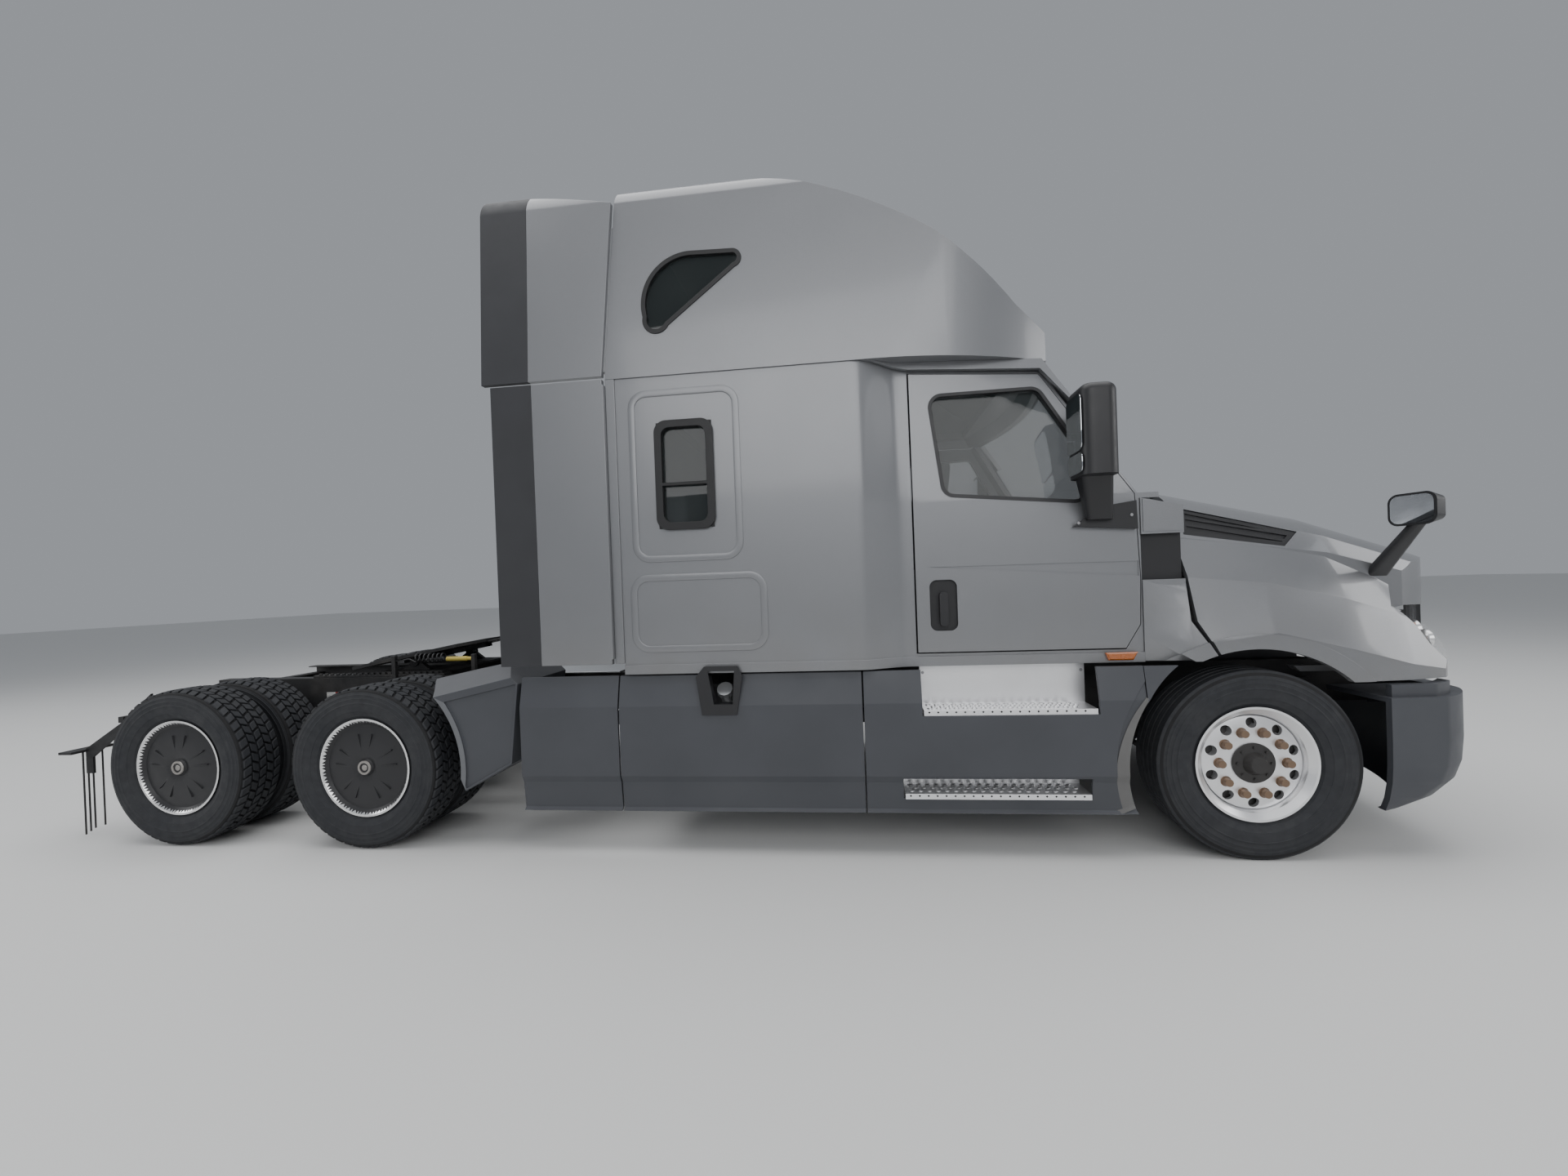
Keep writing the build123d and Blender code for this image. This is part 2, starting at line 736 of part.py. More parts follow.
def roof_section(inset):
    """Cross section of the roof cap above the seam, moved in by inset."""
    shoulder = roof_side_half - inset
    with BuildSketch(mode=Mode.PRIVATE) as section:
        with BuildLine():
            Polyline(
                (-shoulder, roof_side_top), (-sleeper_half + inset, seam_z), (sleeper_half - inset, seam_z),
                (shoulder, roof_side_top),
            )
            for side in (-1, 1):
                ThreePointArc(
                    (side * shoulder, roof_side_top),
                    (side * (shoulder - 60), roof_side_top + 95 - inset / 2),
                    (side * (shoulder - 205), roof_z - roof_crown - inset),
                )
            ThreePointArc(
                (205 - shoulder, roof_z - roof_crown - inset),
                (0, roof_z - inset),
                (shoulder - 205, roof_z - roof_crown - inset),
            )
        make_face()
    return section.sketch


def roof_body(inset):
    """Roof cap outline moved in by inset, open at the seam."""
    with BuildPart(mode=Mode.PRIVATE) as body:
        with BuildSketch(Plane.XZ):
            with BuildLine():
                Polyline(*side_points((
                    (-1106, roof_slope_z), (-893, roof_brow_z), (-800, seam_z), (-sleeper_back, seam_z),
                )))
                Line(side_points(((-sleeper_back, seam_z),))[0], side_points(((roof_back_top, roof_z),))[0])
                ThreePointArc(
                    *side_points(((roof_back_top, roof_z), (-1990, roof_z - 245), (-1106, roof_slope_z)))
                )
            make_face()
            if inset:
                offset(amount=-inset, kind=Kind.INTERSECTION)
        extrude(amount=wide, both=True)
        with BuildSketch(Plane.XY.offset(seam_z)):
            with BuildLine():
                for side in (-1, 1):
                    Line(
                        (at_steer(-sleeper_back), side * (sleeper_half - inset)),
                        (at_steer(-1950), side * (sleeper_half - inset))
                    )
                    ThreePointArc(
                        (at_steer(-1950), side * (sleeper_half - inset)),
                        (at_steer(roof_plan_mid), side * (1135 - inset)),
                        (at_steer(-930), side * (960 - inset)),
                    )
                Line(
                    (at_steer(-sleeper_back), sleeper_half - inset),
                    (at_steer(-sleeper_back), -sleeper_half + inset)
                )
                ThreePointArc(
                    (at_steer(-930), 960 - inset),
                    (at_steer(-800), 0),
                    (at_steer(-930), -960 + inset),
                )
            make_face()
        extrude(amount=roof_z - seam_z + 100, mode=Mode.INTERSECT)
        with BuildSketch(Plane.YZ.offset(at_steer(-sleeper_back - 10))):
            add(roof_section(inset))
        extrude(amount=sleeper_back, mode=Mode.INTERSECT)
    return body.part


roof_window_low = roof_slope_z - 36
roof_window_high = roof_slope_z + 412
roof_frame_band = 26


def roof_window_prism(grow, start, depth):
    """Drop-shaped roof window, grown by grow, as a prism from y = start."""
    low = roof_window_low
    high = roof_window_high
    with BuildPart(mode=Mode.PRIVATE) as prism:
        with BuildSketch(Plane.XZ.offset(-start)):
            with BuildLine():
                ThreePointArc(*side_points(((-3214, low + 84), (-3118, high - 68), (-2930, high))))
                Line(*side_points(((-2930, high), (-2690, high - 10))))
                ThreePointArc(*side_points(((-2690, high - 10), (-2630, high - 58), (-2668, high - 118))))
                Line(*side_points(((-2668, high - 118), (-3062, low + 26))))
                ThreePointArc(*side_points(((-3062, low + 26), (-3186, low), (-3214, low + 84))))
            make_face()
            if grow:
                offset(amount=grow, kind=Kind.INTERSECTION)
        extrude(amount=-depth)
    return prism.part


with BuildPart() as roof_cap:
    add(roof_body(0))
    add(roof_body(cab_wall), mode=Mode.SUBTRACT)
    with Locations((at_steer(-2200), 0, seam_z + 50)):
        Box(2260, 1800, 200, mode=Mode.SUBTRACT)
    for name, side in sides:
        add(roof_window_prism(0, side * 1050, side * 300), mode=Mode.SUBTRACT)
save(roof_cap, "roof_cap")

# Side glass of the sleeper and roof, in black frames
frame_band = 32
pane_corner = 48
split_bar_z = 2130
split_bar = 18
frame_proud = 14
with BuildPart() as cab_glass:
    add(windshield.part)
    for name, side in sides:
        with BuildSketch(Plane(
            origin=(at_steer(berth_window_x), side * (sleeper_half - 20), berth_window_z),
            x_dir=(1, 0, 0), z_dir=(0, side, 0)
        )):
            RectangleRounded(
                berth_window_size[0] - 2 * frame_band, berth_window_size[1] - 2 * frame_band, pane_corner
            )
        extrude(amount=-glass_thick)
    roof_pane = roof_body(14) - roof_body(14 + glass_thick)
    for name, side in sides:
        add(roof_pane & roof_window_prism(-roof_frame_band, side * 1050, side * 300))
save(cab_glass, "cab_glass")

with BuildPart() as window_frames:
    for name, side in sides:
        with BuildSketch(Plane(
            origin=(at_steer(berth_window_x), side * sleeper_half, berth_window_z),
            x_dir=(1, 0, 0), z_dir=(0, side, 0)
        )):
            RectangleRounded(berth_window_size[0] + 20, berth_window_size[1] + 20, window_corner)
            RectangleRounded(
                berth_window_size[0] - 2 * frame_band, berth_window_size[1] - 2 * frame_band, pane_corner,
                mode=Mode.SUBTRACT,
            )
        extrude(amount=frame_proud)
        with BuildSketch(Plane(
            origin=(at_steer(berth_window_x), side * sleeper_half, berth_window_z),
            x_dir=(1, 0, 0), z_dir=(0, side, 0)
        )):
            Rectangle(*berth_window_size)
            RectangleRounded(
                berth_window_size[0] - 2 * frame_band, berth_window_size[1] - 2 * frame_band, pane_corner,
                mode=Mode.SUBTRACT,
            )
        extrude(amount=-cab_wall)
        with Locations((at_steer(berth_window_x), side * (sleeper_half + frame_proud / 2), split_bar_z)):
            Box(berth_window_size[0] - 2 * frame_band, frame_proud, split_bar)
    roof_seal = roof_body(-6) - roof_body(30)
    for name, side in sides:
        seal_ring = roof_window_prism(0, side * 1050, side * 300)
        add(roof_seal & (seal_ring - roof_window_prism(-roof_frame_band, side * 1000, side * 400)))

# Doors with their glass, handles and mirrors
glass_inset = 22
handle_x = -1568
handle_z = 1385
handle_size = (150, 285)
mirror_x = -820
mirror_y = 1290
mirror_low = 2030
mirror_high = 2490
mirror_foot_z = 1790
mirror_foot_view = ((-873, 1790), (-548, 1764), (-552, 1915), (-720, 1892))
handle_deep = 26
seal_band = 16
seal_proud = 5
door_crease = ((-1645, 1600), (-538, 1592), (-538, 1512))
crease_depth = 5
crease_shell = cab_body(-1, floor_z, seam_z) - cab_body(crease_depth, floor_z, seam_z)
seal_outer = cab_body(-seal_proud, floor_z, seam_z) - cab_body(-seat_gap, floor_z, seam_z)
seal_inner = cab_body(-seal_proud, floor_z, seam_z) - cab_body(glass_inset, floor_z, seam_z)
with BuildPart() as right_pane:
    add(cab_body(glass_inset, floor_z, seam_z))
    add(cab_body(glass_inset + glass_thick, floor_z, seam_z), mode=Mode.SUBTRACT)
    add(side_prism(door_window, 0, -900, -500, window_round), mode=Mode.INTERSECT)

for name, side in sides:
    with BuildPart() as door:
        add(cab_outer)
        add(cab_inner, mode=Mode.SUBTRACT)
        add(side_prism(door_outline, -panel_gap / 2, side * 900, side * 500), mode=Mode.INTERSECT)
        add(side_prism(door_window, 0, side * 900, side * 500, window_round), mode=Mode.SUBTRACT)
        add(crease_shell & side_prism(door_crease, 0, side * 900, side * 500), mode=Mode.SUBTRACT)
        with BuildSketch(side_plane(side, cab_half)):
            with Locations((at_steer(handle_x), handle_z)):
                RectangleRounded(*handle_size, 40)
        extrude(amount=side * handle_deep, mode=Mode.SUBTRACT)
    save(door, f"door_{name}")

    with BuildPart() as door_glass:
        add(right_pane.part)
        if side > 0:
            mirror(about=Plane.XZ, mode=Mode.REPLACE)
    save(door_glass, f"door_glass_{name}")

    with BuildPart() as door_fittings:
        with BuildSketch(side_plane(side, cab_half - handle_deep)):
            with Locations((at_steer(handle_x), handle_z)):
                RectangleRounded(*handle_size, 40)
        extrude(amount=-side * 6)
        with BuildSketch(side_plane(side, cab_half - handle_deep)):
            with Locations((at_steer(handle_x), handle_z - 20)):
                RectangleRounded(46, 190, 18)
        extrude(amount=-side * (handle_deep + 14))
        # Mirror foot on the door, arm and housing
        with BuildSketch(side_plane(side, cab_half)):
            with BuildLine():
                Polyline(*side_points(mirror_foot_view), close=True)
            make_face()
        extrude(amount=-side * 34)
        with BuildSketch(Plane.XY.offset(mirror_foot_z + 30)):
            with Locations((at_steer(mirror_x + 75), side * (cab_half + 40))):
                RectangleRounded(130, 64, 24)
        with BuildSketch(Plane.XY.offset(mirror_low + 30)):
            with Locations((at_steer(mirror_x + 12), side * (mirror_y - 20))):
                RectangleRounded(160, 130, 24)
        loft()
        with BuildSketch(Plane.XY.offset(mirror_low)):
            with Locations((at_steer(mirror_x + 6), side * mirror_y)):
                RectangleRounded(180, 250, 60)
        extrude(amount=mirror_high - mirror_low)
        fillet(door_fittings.edges().group_by(Axis.Z)[-1], 45)
        seal_view = side_prism(door_window, seal_band, side * 900, side * 500, window_round + seal_band)
        seal_hole = side_prism(door_window, -3, side * 900, side * 500, window_round - 3)
        seal_opening = side_prism(door_window, -seat_gap, side * 900, side * 500, window_round - seat_gap)
        add(seal_outer & (seal_view - seal_hole))
        add(seal_inner & (seal_opening - seal_hole))
    save(door_fittings, f"door_fittings_{name}")

# Grille opening in the hood's nose
grille_half = 560
grille_bottom = 1000
grille_top = 1470
grille_bars = 7
bar_height = 22
grille_deep = 260

# Hood pivot above the bumper, as (ahead of the steering axle, height)
hood_pivot = (1150, 912)
hinge_y = 372
hinge_thick = 20
hinge_radius = 20
hinge_pin = 10
hinge_wall_x = 1190

# Hood: side view trimmed by its plan and by a section that narrows to the nose
hood_back = -290
hood_wall = 28
hood_bottom = 930
hood_nose_top = (1172, 1520)
hood_side_view = ((hood_back, 2030), (283, 1895), (800, 1735))
hood_nose_view = ((1255, 1200), (1205, hood_bottom + 5), (hood_back, hood_bottom + 5))
hood_sections = ((hood_back - 30, 2044, 985, 318), (500, 1846, 955, 245), (1290, 1570, 890, 200))
hood_corner = (860, 935)
hood_corner_mid = (1060, 815)
nose_half = 600
nose_x = 1225
nose_bow = 35


def hood_section(crown, half, drop, inset):
    """Cross section of the hood: crowned top, round shoulders, and sides that lean out down to the crease."""
    top = crown - inset
    side = half - inset
    flat = side - 385
    with BuildSketch(mode=Mode.PRIVATE) as section:
        with BuildLine():
            ThreePointArc((-flat, top - 22), (0, top), (flat, top - 22))
            for end in (-1, 1):
                ThreePointArc(
                    (end * flat, top - 22), (end * (side - 165), top - 68), (end * (side - 35), top - 150)
                )
                Polyline(
                    (end * (side - 35), top - 150), (end * side, top - drop), (end * side, hood_bottom - 60),
                )
            Line((-side, hood_bottom - 60), (side, hood_bottom - 60))
        make_face()
    return section.sketch


def hood_body(inset):
    """Middle of the hood moved in by inset."""
    with BuildPart(mode=Mode.PRIVATE) as envelope:
        for x, crown, half, drop in hood_sections:
            with BuildSketch(Plane.YZ.offset(at_steer(x))):
                add(hood_section(crown, half, drop, inset))
        loft(ruled=True)
    with BuildPart(mode=Mode.PRIVATE) as body:
        with BuildSketch(Plane.XZ):
            with BuildLine():
                Polyline(*side_points(hood_side_view))
                ThreePointArc(*side_points((hood_side_view[-1], (1020, 1645), hood_nose_top)))
                Polyline(*side_points((hood_nose_top,) + hood_nose_view + (hood_side_view[0],)))
            make_face()
            if inset:
                offset(amount=-inset, kind=Kind.INTERSECTION)
        extrude(amount=wide, both=True)
        with BuildSketch(Plane.XY.offset(hood_bottom - 70)):
            with BuildLine():
                back_left = (at_steer(hood_back - 60), 1040 - inset)
                back_right = (at_steer(hood_back - 60), inset - 1040)
                Line(back_left, back_right)
                for side, back in ((1, back_left), (-1, back_right)):
                    corner = (at_steer(hood_corner[0]), side * (hood_corner[1] - inset))
                    middle = (
                        at_steer(hood_corner_mid[0] - 0.8 * inset),
                        side * (hood_corner_mid[1] - 0.6 * inset)
                    )
                    Line(back, corner)
                    ThreePointArc(corner, middle, (at_steer(nose_x - inset), side * (nose_half - inset / 2)))
                ThreePointArc(
                    (at_steer(nose_x - inset), nose_half - inset / 2),
                    (at_steer(nose_x + nose_bow - inset), 0),
                    (at_steer(nose_x - inset), inset / 2 - nose_half),
                )
            make_face()
        extrude(amount=1300, mode=Mode.INTERSECT)
        add(envelope.part, mode=Mode.INTERSECT)
    return body.part


# Fenders: stations of x ahead of the axle, then (half width, height) of the lip, lower crease and upper
# crease
fender_half = 1180
fender_inner = 780
arch_radius = 650
arch_z = 460
fender_stations = (
    (hood_back - 12, (fender_half, 1130), (1116, 1494), (978, 1722)),
    (110, (fender_half, 1190), (1112, 1450), (966, 1668)),
    (485, (fender_half - 4, 1090), (1092, 1356), (942, 1602)),
    (760, (fender_half - 40, 1010), (1058, 1262), (905, 1490)),
    (1100, (1030, 950), (955, 1140), (860, 1320)),
)
split_view = (
    (-700, hood_bottom - 80), (-160, hood_bottom - 80), (-160, 1050), (-270, 1260), (hood_back, 1480),
    (hood_back, 1850), (-700, 1850),
)
lip_band = 78
lip_proud = 12

# Face of the headlamps: a curve swept along the corner of the nose, as (ahead of the axle along its turn,
# height)
lamp_turn = 34.5
lamp_profile = ((1200, 1300), (1374, 1145), (1434, 920))


def behind_lamp(side, inset):
    """Everything behind the lamp's curved face."""
    face_plane = Plane(
        origin=(steer_x, 0, 0),
        x_dir=Vector(1, 0, 0).rotate(Axis.Z, side * lamp_turn),
        z_dir=Vector(0, -1, 0).rotate(Axis.Z, side * lamp_turn),
    )
    top, middle, foot = lamp_profile
    with BuildPart(mode=Mode.PRIVATE) as kept:
        with BuildSketch(face_plane):
            with BuildLine():
                ThreePointArc(
                    (foot[0] - inset, foot[1]), (middle[0] - inset, middle[1] - inset / 2),
                    (top[0] - inset, top[1] - inset),
                )
                Polyline(
                    (top[0] - inset, top[1] - inset), (top[0] - inset, 2200), (-2600, 2200), (-2600, 700),
                    (foot[0] - inset, 700), (foot[0] - inset, foot[1]),
                )
            make_face()
        extrude(amount=2000, both=True)
    return kept.part


def fender_body(side, inset):
    """One fender, moved in by inset: a loft, trimmed by its plan, split line and lamp face."""
    low = hood_bottom - 2 * max(inset, 0)
    with BuildPart(mode=Mode.PRIVATE) as body:
        for x, lip, crease, top in fender_stations:
            with BuildSketch(Plane.YZ.offset(at_steer(x))):
                with BuildLine():
                    section = (
                        (fender_inner + inset, low), (lip[0] - inset, low), (lip[0] - inset, lip[1]),
                        (crease[0] - inset, crease[1] - inset / 2), (top[0] - inset, top[1] - inset),
                        (fender_inner + inset, top[1] - inset),
                    )
                    Polyline(*[(side * y, z) for y, z in section], close=True)
                make_face()
        loft(ruled=True)
        with BuildSketch(Plane.XY.offset(hood_bottom - 90)):
            with BuildLine():
                front = (at_steer(1088 - inset), side * (900 - inset / 2))
                shoulder = (at_steer(640), side * (fender_half + 6 - inset))
                ThreePointArc(shoulder, (at_steer(930 - inset / 2), side * (1098 - inset)), front)
                Polyline(
                    front, (at_steer(1165 - inset), side * (fender_inner + inset)),
                    (at_steer(hood_back - 60), side * (fender_inner + inset)),
                    (at_steer(hood_back - 60), side * (fender_half + 6 - inset)), shoulder,
                )
            make_face()
        extrude(amount=1000, mode=Mode.INTERSECT)
        add(behind_lamp(side, inset), mode=Mode.INTERSECT)
        add(side_prism(split_view, 0, side * 700, side * 600), mode=Mode.SUBTRACT)
    return body.part


def arch_ring(inner, outer):
    """Ring round the wheel arch, across the whole width."""
    with BuildPart(mode=Mode.PRIVATE) as ring:
        with BuildSketch(Plane.XZ):
            with Locations((steer_x, arch_z)):
                Circle(outer)
                Circle(inner, mode=Mode.SUBTRACT)
        extrude(amount=wide, both=True)
    return ring.part


# Headlamp and louvre outlines, as (ahead of the steering axle, height)
lamp_view = (
    (786, 1275), (862, 1195), (912, 1100), (1000, 1005), (1075, 968), (1185, 985), (1185, 1290), (900, 1300),
)
lamp_inner = 640
louvre_view = ((-236, 1880), (375, 1721), (291, 1643), (-236, 1730))
louvre_depth = 14
louvre_rim = 24
louvre_slats = 2
slat_height = 13
slat_pitch = 38
slat_lean = 12
louvre_mid = (30, 1752)

hood_whole = hood_body(0)
hood_hollow = hood_body(hood_wall)
fender_hollows = {side: fender_body(side, hood_wall) for name, side in sides}
with BuildPart() as hood:
    add(hood_whole)
    for name, side in sides:
        add(fender_body(side, 0))
        add(fender_body(side, -lip_proud) & arch_ring(arch_radius, arch_radius + lip_band))
    add(hood_hollow, mode=Mode.SUBTRACT)
    for name, side in sides:
        add(fender_hollows[side], mode=Mode.SUBTRACT)
    with Locations((at_steer(350), 0, hood_bottom)):
        Box(1500, 1500, 100, mode=Mode.SUBTRACT)
    with Locations((at_steer(hood_back), 0, 1400)):
        Box(2 * hood_wall + 20, 1500, 1000, mode=Mode.SUBTRACT)
    with BuildSketch(Plane.XZ):
        with Locations((steer_x, arch_z)):
            Circle(arch_radius)
    extrude(amount=wide, both=True, mode=Mode.SUBTRACT)
    with Locations((at_steer(1200), 0, (grille_bottom + grille_top) / 2)):
        Box(grille_deep, 2 * grille_half, grille_top - grille_bottom, mode=Mode.SUBTRACT)
    for name, side in sides:
        add(side_prism(lamp_view, 0, side * lamp_inner, side * 600), mode=Mode.SUBTRACT)
    louvre_pocket = hood_whole - hood_body(louvre_depth)
    for name, side in sides:
        add(louvre_pocket & side_prism(louvre_view, 0, side * 850, side * 300), mode=Mode.SUBTRACT)
    for name, side in sides:
        with BuildSketch(side_plane(side, hinge_y + seat_gap)):
            with Locations((at_steer(hood_pivot[0]), hood_pivot[1])):
                Circle(hinge_radius)
            with BuildLine():
                Polyline(
                    (at_steer(hood_pivot[0] - hinge_radius), hood_pivot[1]),
                    (at_steer(hood_pivot[0] + hinge_radius), hood_pivot[1]),
                    (at_steer(hinge_wall_x), hood_bottom + 10),
                    (at_steer(hinge_wall_x), grille_bottom - 8),
                    (at_steer(hood_pivot[0] - hinge_radius), grille_bottom - 8),
                    close=True,
                )
            make_face()
            with Locations((at_steer(hood_pivot[0]), hood_pivot[1])):
                Circle(hinge_pin + seat_gap, mode=Mode.SUBTRACT)
        extrude(amount=-side * hinge_thick)
save(hood, "hood")

# Headlamps round the corners of the nose
lamp_sink = 2
with BuildPart() as headlamps:
    for name, side in sides:
        lamp_body = hood_body(lamp_sink) + fender_body(side, lamp_sink) - hood_hollow - fender_hollows[side]
        add(lamp_body & side_prism(lamp_view, 0, side * lamp_inner, side * 600))
save(headlamps, "headlamps")

# Louvres in the hood's sides and mirrors on its shoulders
mirror_head = (760, 1150, 1800)
mirror_head_size = (215, 165)
mirror_head_deep = 78
mirror_head_turn = 15
mirror_arm_foot = (765, 905, 1462)
louvre_sink = 4
slot_deep = 10


def louvre_slot_prism(side):
    """Slots between the slats of one louvre, running through the hood's side."""
    with BuildPart(mode=Mode.PRIVATE) as slots:
        with BuildSketch(Plane.XZ.offset(-side * 850)):
            with BuildLine():
                Polyline(*side_points(louvre_view), close=True)
            make_face()
            offset(amount=-louvre_rim, kind=Kind.INTERSECTION)
            for index in range(louvre_slats):
                slat_z = louvre_mid[1] + (index - (louvre_slats - 1) / 2) * slat_pitch
                with Locations((at_steer(louvre_mid[0]), slat_z)):
                    Rectangle(800, slat_height, rotation=-slat_lean, mode=Mode.SUBTRACT)
        extrude(amount=-side * 300)
    return slots.part


with BuildPart() as hood_fittings:
    for name, side in sides:
        head_plane = Plane(
            origin=(at_steer(mirror_head[0]), side * mirror_head[1], mirror_head[2]),
            x_dir=Vector(0, 1, 0).rotate(Axis.Z, -side * mirror_head_turn),
            z_dir=Vector(1, 0, 0).rotate(Axis.Z, -side * mirror_head_turn),
        )
        with BuildSketch(head_plane):
            RectangleRounded(*mirror_head_size, 48)
        extrude(amount=mirror_head_deep, taper=14)
        with BuildSketch(Plane.XY.offset(mirror_arm_foot[2])):
            with Locations((at_steer(mirror_arm_foot[0]), side * mirror_arm_foot[1])):
                RectangleRounded(110, 60, 22)
        with BuildSketch(Plane.XY.offset(mirror_head[2] - 40)):
            with Locations((at_steer(mirror_head[0] + 45), side * (mirror_head[1] + 10))):
                RectangleRounded(56, 60, 22)
        loft()
        add(fender_body(side, 0), mode=Mode.SUBTRACT)
    add(hood_whole, mode=Mode.SUBTRACT)
    louvre_shell = hood_body(louvre_sink) - hood_body(louvre_depth)
    slot_shell = hood_whole - hood_body(slot_deep)
    for name, side in sides:
        louvre_strip = louvre_shell & side_prism(louvre_view, 0, side * 850, side * 300)
        add(louvre_strip - (slot_shell & louvre_slot_prism(side)))
save(hood_fittings, "hood_fittings")

# Cowl sides: cab panels between door and hood, with a blank name panel, a dark recess and the arch's lip
cowl_front = hood_back - panel_gap - 6
cowl_low = 1052
cowl_view = (
    (cowl_back, cowl_low), (-176, cowl_low), (cowl_front + 3, 1262), (cowl_front, 1480), (cowl_front, 1880),
    (cowl_back, cowl_top),
)
cowl_crease = 1488
recess_high = 1735
recess_deep = 45
lining_thick = 6
badge_proud = 4


def cowl_flare(side, proud):
    """Lower cowl panel, flush with the door and flaring out to the fender."""
    stations = (
        (cowl_back, cab_half, cab_half),
        (hood_back - 12, fender_half + proud, 1116 + proud),
        (-100, fender_half + proud, 1116 + proud),
    )
    with BuildPart(mode=Mode.PRIVATE) as flare:
        for x, lip_y, crease_y in stations:
            with BuildSketch(Plane.YZ.offset(at_steer(x))):
                with BuildLine():
                    panel_view = (
                        (
                            cab_half - cab_wall, cowl_low
                        ), (lip_y, cowl_low), (lip_y, 1135), (crease_y, cowl_crease),
                        (cab_half - cab_wall, cowl_crease),
                    )
                    Polyline(*[(side * y, z) for y, z in panel_view], close=True)
                make_face()
        loft(ruled=True)
    return flare.part


with BuildPart() as cowl_sides:
    for name, side in sides:
        with BuildSketch(side_plane(side, cab_half - cab_wall)):
            with BuildLine():
                Polyline(*side_points(cowl_view), close=True)
            make_face()
        extrude(amount=-side * cab_wall)
        add(cowl_flare(side, 0))
        add(cowl_flare(side, lip_proud) & arch_ring(arch_radius, arch_radius + lip_band))
        with Locations((at_steer(cowl_back), side * cab_half, cowl_crease)):
            Box(
                400, 2 * recess_deep, recess_high - cowl_crease,
                align=(Align.MIN, Align.CENTER, Align.MIN), mode=Mode.SUBTRACT,
            )
        with Locations((at_steer((cowl_back + cowl_front) / 2), side * (cab_half + badge_proud / 2), 1836)):
            Box(cowl_front - cowl_back - 20, badge_proud, 176)
    outside = side_prism(cowl_view, 0, -wide, 2 * wide)
    add(outside, mode=Mode.INTERSECT)
    add(arch_ring(0.1, arch_radius), mode=Mode.SUBTRACT)
save(cowl_sides, "cowl_sides")

with BuildPart() as cowl_linings:
    for name, side in sides:
        floor_y = cab_half - recess_deep
        with Locations((
            at_steer((cowl_back + cowl_front) / 2),
            side * (floor_y + lining_thick / 2), (cowl_crease + recess_high) / 2
        )):
            Box(cowl_front - cowl_back, lining_thick, recess_high - cowl_crease)

# Grille bars follow the nose in its opening
grille_mid_z = (grille_bottom + grille_top) / 2
with BuildPart() as grille_pattern:
    for index in range(grille_bars):
        z = grille_bottom + bar_height / 2 + index * (
            grille_top - grille_bottom - bar_height
        ) / (grille_bars - 1)
        with Locations((at_steer(1200), 0, z)):
            Box(grille_deep, 2 * grille_half, bar_height)
    for y in (-grille_half + 12, -grille_half / 2, 0, grille_half / 2, grille_half - 12):
        with Locations((at_steer(1200), y, grille_mid_z)):
            Box(grille_deep, 24, grille_top - grille_bottom)
with BuildPart() as grille:
    add(hood_body(6))
    add(hood_body(26), mode=Mode.SUBTRACT)
    add(grille_pattern.part, mode=Mode.INTERSECT)
save(grille, "grille")

# Bumper: plan of the wings and face, tucked in below, with the hood's hinge ears
bumper_top = 850
bumper_wall = 35
bumper_plan = ((600, 1205), (860, 1192), (1015, 1090), (1140, 930), (front_overhang, 0))
bumper_foot = ((600, 1150), (640, 1130), (760, 1060), (900, 900), (1140, 0))
bumper_levels = ((850, 0), (620, 0), (500, 0.04), (415, 0.16), (328, 0.5), (262, 1))
tier_top = 912
tier_sink = 28
tier_front = 985
tier_inner = 890


def bumper_outline(inset, share):
    """Plan of the bumper moved in by inset, a share of the way from its top to its foot."""
    points = []
    for top, foot in zip(bumper_plan, bumper_foot):
        x = top[0] + share * (foot[0] - top[0])
        y = top[1] + share * (foot[1] - top[1])
        points.append((at_steer(x if x == bumper_plan[0][0] else x - inset), max(y - inset, 0)))
    corner, shoulder, bend, cheek, nose = points
    with BuildSketch(mode=Mode.PRIVATE) as outline:
        with BuildLine():
            for side in (-1, 1):
                Line((corner[0], side * corner[1]), (shoulder[0], side * shoulder[1]))
                ThreePointArc(*[(x, side * y) for x, y in (shoulder, bend, cheek)])
            ThreePointArc((cheek[0], -cheek[1]), nose, cheek)
            Line((corner[0], -corner[1]), corner)
        make_face()
    return outline.sketch


def bumper_body(inset, top):
    """Bumper as a solid up to the height top, its foot rolled under."""
    with BuildPart(mode=Mode.PRIVATE) as body:
        for z, share in ((top, 0),) + bumper_levels[1:]:
            with BuildSketch(Plane.XY.offset(z)):
                add(bumper_outline(inset, share))
        loft(ruled=True)
    return body.part


with BuildPart() as tier:
    with BuildSketch(Plane.XY.offset(bumper_top - 10)):
        add(bumper_outline(tier_sink, 0))
        add(bumper_outline(tier_sink + bumper_wall, 0), mode=Mode.SUBTRACT)
    extrude(amount=tier_top - bumper_top + 10)
    with Locations((at_steer(tier_front), 0, bumper_top)):
        Box(
            tier_front - 625, 2 * wide, 300,
            align=(Align.MAX, Align.CENTER, Align.CENTER), mode=Mode.INTERSECT
        )
        Box(
            tier_front, 2 * tier_inner, 300,
            align=(Align.MAX, Align.CENTER, Align.CENTER), mode=Mode.SUBTRACT
        )

